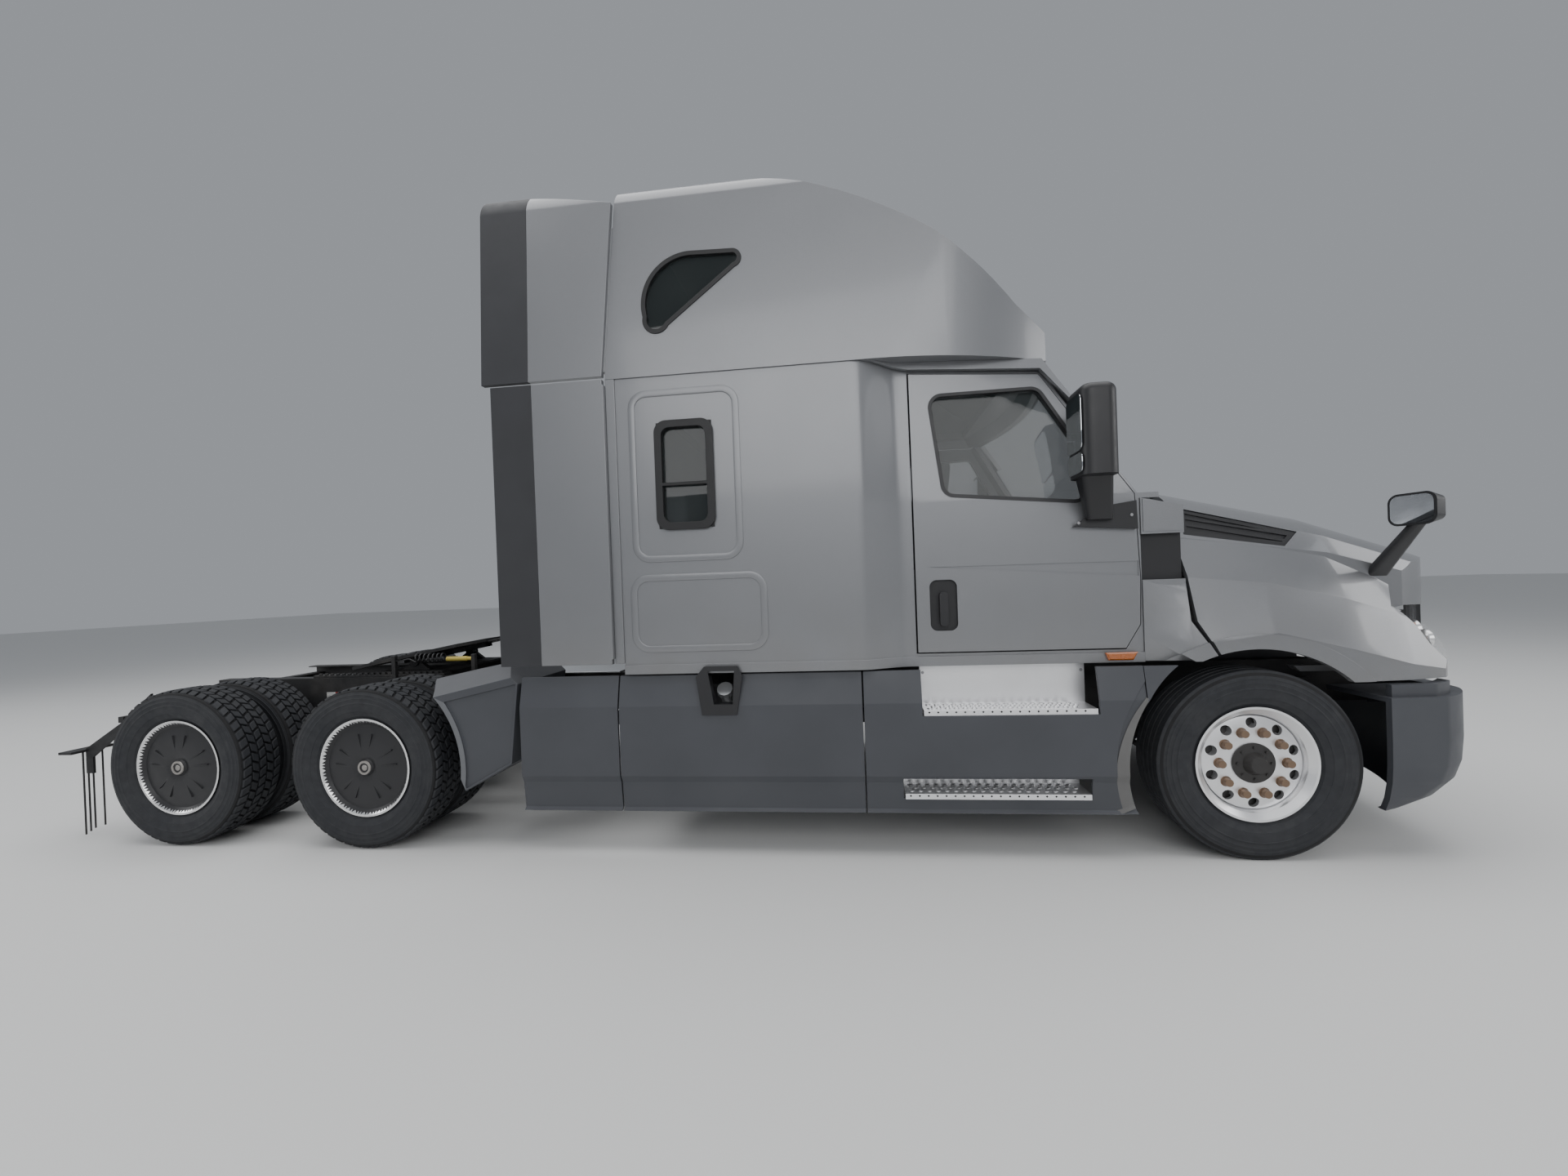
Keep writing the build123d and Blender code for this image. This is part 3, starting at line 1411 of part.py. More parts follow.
with BuildPart() as bumper:
    add(bumper_body(0, bumper_top))
    add(bumper_body(bumper_wall, bumper_top - 25), mode=Mode.SUBTRACT)
    add(tier.part)
    with Locations((at_steer(frame_front + 20), 0, bumper_top)):
        Box(
            frame_front - 300, 2 * fender_inner, 60,
            align=(Align.MAX, Align.CENTER, Align.CENTER), mode=Mode.SUBTRACT
        )
    for name, side in sides:
        ear_foot = bumper_top - 60
        with BuildSketch(side_plane(side, hinge_y)):
            with Locations((at_steer(hood_pivot[0]), hood_pivot[1])):
                Circle(hinge_radius)
            with Locations((at_steer(hood_pivot[0]), (hood_pivot[1] + ear_foot) / 2)):
                Rectangle(2 * hinge_radius, hood_pivot[1] - ear_foot)
        extrude(amount=side * hinge_thick)
        with BuildSketch(side_plane(side, hinge_y - hinge_thick)):
            with Locations((at_steer(hood_pivot[0]), hood_pivot[1])):
                Circle(hinge_pin)
        extrude(amount=-side * (2 * hinge_thick + seat_gap))
    bracket_length = front_overhang - bumper_wall - frame_front + 2
    for end in (-1, 1):
        with Locations((frame_front_x + bracket_length / 2, end * (rail_half - 45), bumper_top - 110)):
            Box(bracket_length, 70, 140)
save(bumper, "bumper")

# Skirts: one bent section run along each side in three panels
skirt_section = (
    (skirt_half - 42, skirt_top),
    (skirt_half, 862),
    (skirt_half, 462),
    (skirt_half - 18, 425),
    (skirt_half - 32, skirt_bottom + 18),
    (skirt_half - 16, skirt_bottom),
)
skirt_joints = (-4050, -3440, -2035, -560)
upper_step = (-1716, -800, 790, skirt_top + 5)
lower_step = (-1830, -845, 335, 446)
step_depth = 190
skirt_arch = 660
strip_band = 65
strip_sink = 7

# Fuel filler: frame and hole outlines, as (ahead of the steering axle, height)
filler_frame = ((-2920, 1087), (-2729, 1087), (-2703, 1030), (-2740, 812), (-2940, 812), (-2970, 1030))
filler_hole = ((-2900, 1060), (-2748, 1060), (-2762, 872), (-2870, 872))
filler_rim = 16
filler_proud = 13
filler_deep = 60


def skirt_run(back, front, near, far):
    """Both skirts from back to front, between two depths below their outer face."""
    with BuildPart(mode=Mode.PRIVATE) as run:
        with BuildSketch(Plane.YZ.offset(at_steer(back))):
            for name, side in sides:
                with BuildLine():
                    outer = [(side * (y - near), z) for y, z in skirt_section]
                    inner = [(side * (y - far), z) for y, z in reversed(skirt_section)]
                    Polyline(*outer, *inner, close=True)
                make_face()
        extrude(amount=front - back)
    return run.part


def wheel_ring(inner, outer):
    """Ring round the steering axle, across the whole width."""
    with BuildPart(mode=Mode.PRIVATE) as ring:
        with BuildSketch(Plane.XZ):
            with Locations((steer_x, axle_z)):
                Circle(outer)
                Circle(inner, mode=Mode.SUBTRACT)
        extrude(amount=wide, both=True)
    return ring.part


with BuildPart() as skirts:
    for back, front in zip(skirt_joints[:-1], skirt_joints[1:]):
        add(skirt_run(back + panel_gap / 2, front - panel_gap / 2, 0, skirt_wall))
    for name, side in sides:
        for back, front, low, high in (upper_step, lower_step):
            with Locations((at_steer((back + front) / 2), side * skirt_half, (low + high) / 2)):
                Box(front - back, 140, high - low, mode=Mode.SUBTRACT)
        add(side_prism(filler_frame, -filler_rim, side * 1100, side * 300), mode=Mode.SUBTRACT)
    add(wheel_ring(0.1, skirt_arch), mode=Mode.SUBTRACT)
    add(skirt_run(-1000, 0, -1, strip_sink) & wheel_ring(1, skirt_arch + strip_band), mode=Mode.SUBTRACT)
save(skirts, "skirts")

# Black inserts in the body sides: the linings of the cowl's recesses and the frames of the fillers
with BuildPart() as side_inserts:
    add(cowl_linings.part)
    for name, side in sides:
        flange_y = skirt_half + seat_gap
        add(side_prism(filler_frame, 0, side * flange_y, side * filler_proud))
        throat = side_prism(
            filler_frame, -filler_rim - seat_gap, side * (flange_y - filler_deep), side * filler_deep
        )
        with Locations((at_steer(-2836), side * flange_y, skirt_top - 10)):
            shelf = Box(
                400, 3 * filler_deep, 400, align=(Align.CENTER, Align.CENTER, Align.MAX), mode=Mode.PRIVATE
            )
        add(throat & shelf)
        add(side_prism(filler_hole, 0, side * 1100, side * 300), mode=Mode.SUBTRACT)
save(side_inserts, "side_inserts")

# Amber marker lamps on the sill below the doors
marker_view = ((-727, 1102), (-712, 1060), (-585, 1060), (-560, 1104))
marker_thick = 24
with BuildPart() as marker_lamps:
    for name, side in sides:
        add(side_prism(marker_view, 0, side * (cab_half + seat_gap), side * marker_thick))
    chamfer(marker_lamps.faces().sort_by(Axis.Y)[0].edges(), 8)
    chamfer(marker_lamps.faces().sort_by(Axis.Y)[-1].edges(), 8)
save(marker_lamps, "marker_lamps")

# Steps: tread planks and kick plates in the skirt openings
with BuildPart() as steps:
    for name, side in sides:
        for back, front, low, high in (upper_step, lower_step):
            with Locations(
                (at_steer((back + front) / 2), side * (skirt_half - step_depth / 2 - 6), low + 15)
            ):
                Box(front - back - 2 * panel_gap, step_depth, 30)
            with Locations(
                (at_steer((back + front) / 2), side * (skirt_half - step_depth - 4), (low + high) / 2)
            ):
                Box(front - back - 2 * panel_gap, 8, high - low)
save(steps, "steps")


# Fuel tanks behind the skirts
tank_radius = 290
tank_back = -3360
tank_front = -2080
tank_y = 800
tank_z = 620
neck_foot = (-2822, 1010, 800)
neck_lean = (0.73, 0.68)
neck_radius = 38
neck_length = 190
cap_radius_out = 50
cap_thick = 28
with BuildPart() as fuel_tanks:
    for name, side in sides:
        with BuildSketch(Plane.YZ.offset(at_steer(tank_back))):
            with Locations((side * tank_y, tank_z)):
                Circle(tank_radius)
        extrude(amount=tank_front - tank_back)
        for x in (tank_back + 220, tank_front - 220):
            with Locations((at_steer(x), side * (rail_half + 60), tank_z + 60)):
                Box(90, 120, 200)
        neck_plane = Plane(
            origin=(at_steer(neck_foot[0]), side * neck_foot[1], neck_foot[2]),
            z_dir=(0, side * neck_lean[0], neck_lean[1]),
        )
        with BuildSketch(neck_plane):
            Circle(neck_radius)
        extrude(amount=neck_length)
        with BuildSketch(neck_plane.offset(neck_length)):
            RegularPolygon(cap_radius_out, 12)
        extrude(amount=cap_thick, taper=8)
save(fuel_tanks, "fuel_tanks")

# Side extenders behind the sleeper with rubber trailing edges
extender_out = 30
extender_wall = 36
extender_flange = 14
extender_mid = 1050
low_front = -sleeper_back - panel_gap
low_split = -3887
low_rear = -4140
high_split = -3904
high_rear = -4195
extender_low = seam_z - 6
extender_high = seam_z + 10
extender_shape = (
    (low_front, extender_high), (roof_back_top - panel_gap - 11, roof_z - 149), (high_split, roof_z - 37),
    (high_rear, roof_z - 6),
    (high_rear, extender_high),
)


def roof_back(z):
    """Where the roof cap's back face lies at height z, ahead of the steering axle."""
    return -sleeper_back + (z - seam_z) * (sleeper_back + roof_back_top) / (roof_z - seam_z)


flange_low = seam_z + 45
flange_high = roof_z - 285
flange_front = [(roof_back(z) - seat_gap, z) for z in (flange_low, flange_high)]
upper_flange = flange_front + [(x - extender_flange - panel_gap, z) for x, z in reversed(flange_front)]
flange_inset = 160


def section_band(outer, inner, view):
    """Both sides of a band between two insets of the roof's section, cut to a side view."""
    with BuildPart(mode=Mode.PRIVATE) as band:
        with BuildSketch(Plane.YZ.offset(at_steer(high_rear - 10))):
            add(roof_section(outer))
            add(roof_section(inner), mode=Mode.SUBTRACT)
        extrude(amount=sleeper_back)
        with BuildSketch(Plane.XZ):
            with BuildLine():
                Polyline(*side_points(view), close=True)
            make_face()
        extrude(amount=wide, both=True, mode=Mode.INTERSECT)
        with Locations((at_steer(high_split), 0, (extender_high + roof_z) / 2)):
            Box(sleeper_back, 2 * extender_mid, sleeper_back, mode=Mode.SUBTRACT)
    return band.part


def lower_extender(side, front, rear):
    """One lower panel, flat, from the sill to the split."""
    with BuildPart(mode=Mode.PRIVATE) as panel:
        with Locations((
            at_steer((front + rear) / 2), side * (sleeper_half + extender_out - extender_wall / 2),
            (floor_z + extender_low) / 2
        )):
            Box(front - rear, extender_wall, extender_low - floor_z)
    return panel.part


front_panel = (extender_shape[0], extender_shape[1], extender_shape[2], (high_split, extender_high))
rear_panel = ((high_split, extender_high), extender_shape[2], extender_shape[3], extender_shape[4])
with BuildPart() as extenders:
    add(section_band(-extender_out, extender_wall - extender_out, front_panel))
    add(section_band(0, flange_inset, upper_flange))
    for name, side in sides:
        add(lower_extender(side, low_front, low_split))
        with Locations(
            (at_steer(-sleeper_back - 8), side * (sleeper_half - 30), (floor_z + extender_low) / 2)
        ):
            Box(16, 120, extender_low - floor_z - 60)
save(extenders, "extenders")

with BuildPart() as rubber_trim:
    add(window_frames.part)
    add(section_band(-extender_out, extender_wall - extender_out, rear_panel))
    for name, side in sides:
        add(lower_extender(side, low_split, low_rear))
save(rubber_trim, "rubber_trim")

# Deck plate on the rails behind the cab
deck_thick = 10
with BuildPart() as deck_plate:
    with Locations((at_steer(-4120), 0, rail_top + deck_thick / 2)):
        Box(760, rail_outside + 40, deck_thick)
save(deck_plate, "deck_plate")

# Quarter fenders ahead of the drive wheels: sloping lid, lip, and a raised band along the tyre
quarter_radius = 650
quarter_wall = 24
quarter_inner = 610
quarter_outer = 1212
quarter_view = ((-4700, 1020), (-4179, 1112), (-4066, 1000), (-4121, 525), (-4422, 363))
lid_edge = ((-4640, 925), (-4110, 1040))
lid_back = (-4700, 1050, 1022)
quarter_band = 34
quarter_lip = 38
quarter_sink = 12


def lid_plane(side):
    """Plane of the sloping lid, rising inwards from the side's top edge."""
    rear = Vector(at_steer(lid_edge[0][0]), side * quarter_outer, lid_edge[0][1])
    front = Vector(at_steer(lid_edge[1][0]), side * quarter_outer, lid_edge[1][1])
    inner = Vector(at_steer(lid_back[0]), side * lid_back[1], lid_back[2])
    along = (front - rear).normalized()
    up = along.cross(inner - rear) * -side
    return Plane(origin=rear, x_dir=along, z_dir=up)


def quarter_solid(side, grow, circle, outer, inner, sink):
    """Quarter fender's side view between two half widths, below its lid moved down by sink."""
    with BuildPart(mode=Mode.PRIVATE) as block:
        with BuildSketch(Plane.XZ.offset(-side * outer)):
            with BuildLine():
                Polyline(*side_points(quarter_view), close=True)
            make_face()
            if grow:
                offset(amount=grow, kind=Kind.INTERSECTION)
            with Locations((drive_x, axle_z)):
                Circle(circle, mode=Mode.SUBTRACT)
        extrude(amount=side * (outer - inner))
        with BuildSketch(lid_plane(side).offset(-sink)):
            Rectangle(2000, 1200)
        extrude(amount=400, mode=Mode.SUBTRACT)
    return block.part


with BuildPart() as quarter_fenders:
    for name, side in sides:
        add(quarter_solid(side, 0, quarter_radius, quarter_outer, quarter_inner, 0))
        hollow = quarter_solid(
            side, -quarter_wall,
            quarter_radius + quarter_wall, quarter_outer - quarter_wall, quarter_inner - 1,
            quarter_wall,
        )
        add(hollow, mode=Mode.SUBTRACT)
        face = quarter_solid(
            side, -quarter_sink,
            quarter_radius + quarter_band, quarter_outer + 1, quarter_outer - quarter_sink,
            quarter_lip,
        )
        add(face, mode=Mode.SUBTRACT)
        with Locations((at_steer(-4250), side * (rail_half + quarter_outer - quarter_wall) / 2, 800)):
            Box(40, quarter_outer - quarter_wall - rail_half, 40)
save(quarter_fenders, "quarter_fenders")

# Fifth wheel: rails on the frame, slider and tilting top plate
coupling_x = -5400
coupling_z = 1112
slide_rail = 18
pivot_drop = 62
pivot_half = 330
pin_radius = 24
rest_tilt = 10
slider_length = 520
slide_travel = 500
slide_length = slider_length + slide_travel + 60
slide_mid = coupling_x - slide_travel / 2
pedestal_thick = 40
pedestal_radius = 33
ear_thick = 12
rack_width = 14
rack_height = 15
rack_pitch = 48
rack_teeth = 21
with BuildPart() as fifth_wheel_rails:
    for name, side in sides:
        with Locations((at_steer(slide_mid), side * (rail_half - 45), rail_top + slide_rail / 2)):
            Box(slide_length, 90, slide_rail)
        with Locations((
            at_steer(slide_mid), side * (rail_half - rack_width / 2),
            rail_top + slide_rail + rack_height / 2
        )):
            with GridLocations(rack_pitch, 0, rack_teeth, 1):
                Box(rack_pitch * 0.55, rack_width, rack_height)
save(fifth_wheel_rails, "fifth_wheel_rails")

pivot_z = coupling_z - pivot_drop
slider_top = rail_top + slide_rail
with BuildPart() as slider:
    with Locations((at_steer(coupling_x), 0, slider_top + seat_gap + 9)):
        Box(slider_length, rail_outside - 40, 18)
    for name, side in sides:
        with BuildSketch(Plane.XZ.offset(-side * pivot_half - pedestal_thick / 2)):
            with Locations((at_steer(coupling_x), pivot_z)):
                Circle(pedestal_radius)
            with BuildLine():
                Polyline(
                    (at_steer(coupling_x) - pedestal_radius, pivot_z),
                    (at_steer(coupling_x) + pedestal_radius, pivot_z),
                    (at_steer(coupling_x) + 130, slider_top + 10),
                    (at_steer(coupling_x) - 130, slider_top + 10),
                    close=True,
                )
            make_face()
            with Locations((at_steer(coupling_x), pivot_z)):
                Circle(pin_radius + seat_gap, mode=Mode.SUBTRACT)
        extrude(amount=pedestal_thick)
save(slider, "slider")

plate_normal = Vector(0, 0, 1).rotate(Axis.Y, -rest_tilt)
plate_plane = Plane(
    origin=Vector(at_steer(coupling_x), 0, pivot_z) + plate_normal * pivot_drop,
    x_dir=Vector(1, 0, 0).rotate(Axis.Y, -rest_tilt),
    z_dir=plate_normal,
)
plate_front = 549
plate_rear = 552
plate_half = 450
plate_thick = 24
kingpin_seat_radius = 26
kingpin_seat_x = 0
throat_half = 150
rib_y = 165
rib_reach = 270
rib_thick = 16
rib_deep = 30
jaw_radius = 92
release_y = 250
release_radius = 6
release_length = 215
with BuildPart() as fifth_wheel:
    with BuildSketch(plate_plane):
        with BuildLine():
            Polyline(
                (plate_front, 280), (plate_front - 130, plate_half), (-220, plate_half), (-plate_rear, 330),
                (-plate_rear, throat_half), (-160, kingpin_seat_radius), (
                    kingpin_seat_x, kingpin_seat_radius
                ),
            )
            ThreePointArc(
                (kingpin_seat_x, kingpin_seat_radius),
                (kingpin_seat_x + kingpin_seat_radius, 0),
                (kingpin_seat_x, -kingpin_seat_radius),
            )
            Polyline(
                (
                    kingpin_seat_x, -kingpin_seat_radius
                ), (-160, -kingpin_seat_radius), (-plate_rear, -throat_half),
                (-plate_rear, -330), (-220, -plate_half), (
                    plate_front - 130, -plate_half
                ), (plate_front, -280),
                (plate_front, 280),
            )
        make_face()
    extrude(amount=-plate_thick)
    underside = plate_plane.offset(-plate_thick)
    with BuildSketch(underside):
        for end in (-1, 1):
            with Locations((30, end * rib_y)):
                Rectangle(2 * rib_reach, rib_thick)
        with Locations((rib_reach, 0)):
            Rectangle(rib_thick, 2 * rib_y)
        Circle(jaw_radius)
        with Locations((-jaw_radius, 0)):
            Rectangle(2 * jaw_radius, 2 * kingpin_seat_radius + 6, mode=Mode.SUBTRACT)
        Circle(kingpin_seat_radius + 3, mode=Mode.SUBTRACT)
    extrude(amount=-rib_deep)
    with BuildSketch(Plane(
        origin=underside.from_local_coords((plate_front - 90, -release_y, -2)), z_dir=plate_plane.x_dir
    )):
        Circle(release_radius)
    extrude(amount=release_length)
    for name, side in sides:
        for end in (-1, 1):
            ear_y = side * pivot_half + end * (pedestal_thick / 2 + 5 + ear_thick / 2)
            with BuildSketch(Plane(
                origin=(at_steer(coupling_x), ear_y + ear_thick / 2, pivot_z),
                x_dir=plate_plane.x_dir, z_dir=(0, -1, 0)
            )):
                Circle(pedestal_radius)
                with Locations((0, 25)):
                    Rectangle(2 * pedestal_radius, 50)
            extrude(amount=ear_thick)
        with BuildSketch(Plane.XZ.offset(-side * pivot_half - pedestal_thick / 2 - ear_thick - 5)):
            with Locations((at_steer(coupling_x), pivot_z)):
                Circle(pin_radius)
        extrude(amount=pedestal_thick + 2 * ear_thick + 10)
save(fifth_wheel, "fifth_wheel")

# Mud flap hangers at the tail: cross tube, dropped arm and its rods
hanger_x = -overall_length / 2
hanger_y = 1090
hanger_wall = 14
rod_radius = 5
rod_length = 560
hanger_view = (
    (-6720, 965), (-6720, 925), (-6955, 715), (-7190, 545), (-7190, 435),
    (-7245, 435), (-7245, 600), (-6955, 775),
)
with BuildPart() as mudflap_hangers:
    for name, side in sides:
        with Locations((frame_back_x + 30, side * (rail_half + hanger_y) / 2, 790)):
            Box(40, hanger_y - rail_half, 40)
        with BuildSketch(Plane.XZ.offset(-side * (hanger_y + hanger_wall))):
            with BuildLine():
                Polyline(*side_points(hanger_view), close=True)
            make_face()
        extrude(amount=side * hanger_wall)
        with Locations((hanger_x + 50, side * (hanger_y - 20), 590)):
            Box(100, 240, 16)
        for x, y in ((8, -120), (8, -60), (50, 0), (92, 60)):
            with Locations((hanger_x + x, side * (hanger_y - 20 + y * 0.9), 590)):
                Cylinder(rod_radius, rod_length, align=(Align.CENTER, Align.CENTER, Align.MAX))
save(mudflap_hangers, "mudflap_hangers")

# Tail lamps on the last crossmember
with BuildPart() as tail_lamps:
    for name, side in sides:
        for y in (150, 290):
            with BuildSketch(Plane(origin=(frame_back_x, side * y, rail_mid_z), z_dir=(-1, 0, 0))):
                Circle(55)
            extrude(amount=30)
save(tail_lamps, "tail_lamps")


# Inside: dash with steering column, seats and bunk
inside_floor = floor_z + floor_thick
wheel_rim_radius = 235
with BuildPart() as dashboard:
    with BuildSketch(Plane.XZ.offset(-1020)):
        with BuildLine():
            Polyline(*side_points((
                (-firewall_back - cab_wall, inside_floor), (-firewall_back - cab_wall, 1930), (-640, 1930),
                (-760, 1800), (-700, 1560), (-560, 1500), (-560, inside_floor),
            )), close=True)
        make_face()
    extrude(amount=2040)
    wheel_plane = Plane(origin=(at_steer(-900), 560, 1830), z_dir=(-1, 0, 1.1))
    with BuildSketch(wheel_plane.offset(-260)):
        Circle(35)
    extrude(amount=262)
    with BuildSketch(wheel_plane):
        Circle(wheel_rim_radius)
        Circle(wheel_rim_radius - 28, mode=Mode.SUBTRACT)
        Rectangle(2 * wheel_rim_radius - 20, 36)
    extrude(amount=24)
save(dashboard, "dashboard")

seat_x = -1290
seat_y = 560
with BuildPart() as seats:
    for y in (-seat_y, seat_y):
        with Locations((at_steer(seat_x), y, inside_floor)):
            Box(420, 400, 330, align=(Align.CENTER, Align.CENTER, Align.MIN))
        with Locations((at_steer(seat_x), y, inside_floor + 330)):
            Box(520, 500, 130, align=(Align.CENTER, Align.CENTER, Align.MIN))
        with BuildSketch(Plane.XZ.offset(-y - 240)):
            with BuildLine():
                Polyline(*side_points((
                    (seat_x - 260, inside_floor + 430), (seat_x - 140, inside_floor + 430),
                    (seat_x - 250, inside_floor + 1130), (seat_x - 350, inside_floor + 1130),
                )), close=True)
            make_face()
        extrude(amount=480)

    with Locations((at_steer(-3000), 0, inside_floor)):
        Box(780, 2 * (sleeper_half - cab_wall) - 20, 420, align=(Align.CENTER, Align.CENTER, Align.MIN))
    with Locations((at_steer(-3000), 0, inside_floor + 420)):
        Box(760, 2 * (sleeper_half - cab_wall) - 60, 160, align=(Align.CENTER, Align.CENTER, Align.MIN))
save(seats, "seats_and_bunk")

# Coiled air line beside the coupling: rear tail, coil and a yellow grip, between two posts on the rail
line_y = -500
line_radius = 6
coil_radius = 38
line_coil = (-5290, -5030, 1092)
grip_span = (-5030, -4870, 1082)
grip_radius = 17
rear_post_x = -5450
front_post_x = -4820
post_top = 1094

with BuildPart() as cable_coil:
    with BuildSketch(Plane.YZ.offset(at_steer(line_coil[0]))):
        with Locations((line_y, line_coil[2])):
            Circle(coil_radius)
    extrude(amount=line_coil[1] - line_coil[0])
save(cable_coil, "cable_coil")

with BuildPart() as cable_grip:
    with BuildSketch(Plane.YZ.offset(at_steer(grip_span[0]))):
        with Locations((line_y, grip_span[2])):
            Circle(grip_radius)
    extrude(amount=grip_span[1] - grip_span[0])
    with BuildSketch(Plane.YZ.offset(at_steer(grip_span[1]))):
        with Locations((line_y, grip_span[2])):
            Circle(grip_radius - 4)
    extrude(amount=front_post_x - 15 - grip_span[1])
save(cable_grip, "cable_grip")

line_route = (
    (rear_post_x + 15, line_y, 1072),
    (rear_post_x + 60, line_y, 1072),
    (line_coil[0] - 45, line_y, line_coil[2]),
    (line_coil[0], line_y, line_coil[2]),
)
with BuildPart() as cable_tail:
    with BuildLine() as tail_path:
        FilletPolyline(*[(at_steer(x), y, z) for x, y, z in line_route], radius=(120, 120))
    with BuildSketch(Plane(origin=tail_path.line @ 0, z_dir=tail_path.line % 0)):
        Circle(line_radius)
    sweep()
save(cable_tail, "cable_tail")

# Brackets on the rails: skirt arms, cab mounts and the two line posts
bracket_places = (-3980, -3400, -1960, -1880, -760)
bracket_size = 40
bracket_z = 720
mount_places = (-560, -2000, -3250)
post_size = 30
with BuildPart() as brackets:
    for name, side in sides:
        span = skirt_half - skirt_wall - rail_half
        for x in bracket_places:
            with Locations((at_steer(x), side * (rail_half + span / 2), bracket_z)):
                Box(bracket_size, span, bracket_size)
        for x in mount_places:
            with Locations((at_steer(x), side * (rail_half - 50), rail_top)):
                Box(120, 80, floor_z - rail_top, align=(Align.CENTER, Align.CENTER, Align.MIN))
    post_reach = abs(line_y) + post_size / 2 - rail_half
    for x in (rear_post_x, front_post_x):
        with Locations((at_steer(x), -rail_half - post_reach / 2, rail_top - 40)):
            Box(post_size, post_reach, post_size)
        with Locations((at_steer(x), line_y, rail_top - 55)):
            Box(post_size, post_size, post_top - rail_top + 75, align=(Align.CENTER, Align.CENTER, Align.MIN))
save(brackets, "brackets")
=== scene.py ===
import bpy
import bmesh
import json
import math
from mathutils import Matrix, Vector
from mathutils.bvhtree import BVHTree


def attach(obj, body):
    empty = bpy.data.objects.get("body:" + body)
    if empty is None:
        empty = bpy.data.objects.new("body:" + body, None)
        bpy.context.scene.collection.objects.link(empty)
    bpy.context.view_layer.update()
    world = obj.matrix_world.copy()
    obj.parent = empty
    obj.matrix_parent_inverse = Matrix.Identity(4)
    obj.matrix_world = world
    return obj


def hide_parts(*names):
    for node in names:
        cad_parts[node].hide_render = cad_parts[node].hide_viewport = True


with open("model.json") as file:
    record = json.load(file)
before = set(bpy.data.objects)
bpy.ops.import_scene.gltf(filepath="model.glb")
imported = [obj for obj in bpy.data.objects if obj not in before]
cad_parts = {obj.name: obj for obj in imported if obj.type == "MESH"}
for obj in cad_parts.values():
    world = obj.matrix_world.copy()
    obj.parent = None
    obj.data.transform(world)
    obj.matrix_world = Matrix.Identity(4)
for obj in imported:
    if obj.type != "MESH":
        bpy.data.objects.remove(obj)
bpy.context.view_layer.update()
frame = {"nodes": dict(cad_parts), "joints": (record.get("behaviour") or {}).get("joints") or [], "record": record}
nodes = frame["nodes"]
record = frame["record"]
joints = {joint["name"]: joint for joint in frame["joints"]}

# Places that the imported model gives: +X is forward, +Y the driver's left, +Z up
steerX = joints["spin_front_left"]["pos_m"][0]
driveX = joints["spin_drive_left"]["pos_m"][0]
tailX = joints["spin_tail_left"]["pos_m"][0]
wheelZ = joints["spin_front_left"]["pos_m"][2]
wheelMiddle = {"front": 1.04, "rearOuter": 1.0845, "rearInner": 0.7415}   # half widths of the tyres' middles
sides = {"right": -1, "left": 1}
print("frame loaded:", len(nodes), "nodes")


def newObject(name, data):
    thing = bpy.data.objects.new(name, data)
    bpy.context.scene.collection.objects.link(thing)
    return thing


# Camera, at the photograph's viewing angle
cameraView = {
    "aheadOfAxle": -2.051,   # m, along X from the steering axle
    "side": -4.564,
    "height": 1.538,
    "yaw": math.radians(-6.822),
    "pitch": math.radians(-0.394),
    "roll": math.radians(-2.120),
    "lens": 13.82,
    "sensor": 36.0,
}


def makeCamera(view):
    forward = Vector((
        math.sin(view["yaw"]) * math.cos(view["pitch"]),
        math.cos(view["yaw"]) * math.cos(view["pitch"]),
        math.sin(view["pitch"]),
    ))
    right = Vector((math.cos(view["yaw"]), -math.sin(view["yaw"]), 0))
    up = right.cross(forward)
    turned = right * math.cos(view["roll"]) + up * math.sin(view["roll"])
    upTurned = up * math.cos(view["roll"]) - right * math.sin(view["roll"])
    data = bpy.data.cameras.new("camera")
    data.lens = view["lens"]
    data.sensor_width = view["sensor"]
    data.clip_end = 200
    camera = newObject("camera", data)
    place = Matrix((turned, upTurned, -forward)).transposed().to_4x4()
    place.translation = Vector((steerX + view["aheadOfAxle"], view["side"], view["height"]))
    camera.matrix_world = place
    bpy.context.scene.camera = camera


makeCamera(cameraView)
print("camera placed")


# Node tree helpers
def newMaterial(name):
    material = bpy.data.materials.new(name)
    material.use_nodes = True
    tree = material.node_tree
    shader = tree.nodes["Principled BSDF"]
    return material, tree, shader


def setInputs(node, values):
    for name, value in values.items():
        node.inputs[name].default_value = value


def objectCoords(tree, scale=(1, 1, 1)):
    coords = tree.nodes.new("ShaderNodeTexCoord")
    mapping = tree.nodes.new("ShaderNodeMapping")
    setInputs(mapping, {"Scale": scale})
    tree.links.new(coords.outputs["Object"], mapping.inputs["Vector"])
    return mapping.outputs["Vector"]


def noise(tree, vector, scale, detail=4.0, rough=0.5):
    node = tree.nodes.new("ShaderNodeTexNoise")
    setInputs(node, {"Scale": scale, "Detail": detail, "Roughness": rough})
    tree.links.new(vector, node.inputs["Vector"])
    return node.outputs["Fac"]


def ramp(tree, value, *stops):   # two stops, each a place and a colour
    node = tree.nodes.new("ShaderNodeValToRGB")
    for element, (place, colour) in zip(node.color_ramp.elements, stops):
        element.position = place
        element.color = colour
    tree.links.new(value, node.inputs["Fac"])
    return node.outputs["Color"]


def grey(level):
    return (level, level, level, 1)


def fade(tree, value, start, end, top=1.0):   # 0 up to the start, rising to the top at the end
    return ramp(tree, value, (start, grey(0)), (end, grey(top)))


def roughen(tree, shader, value, low, high, span=(0.3, 0.7)):
    spread = ramp(tree, value, (span[0], grey(low)), (span[1], grey(high)))
    tree.links.new(spread, shader.inputs["Roughness"])


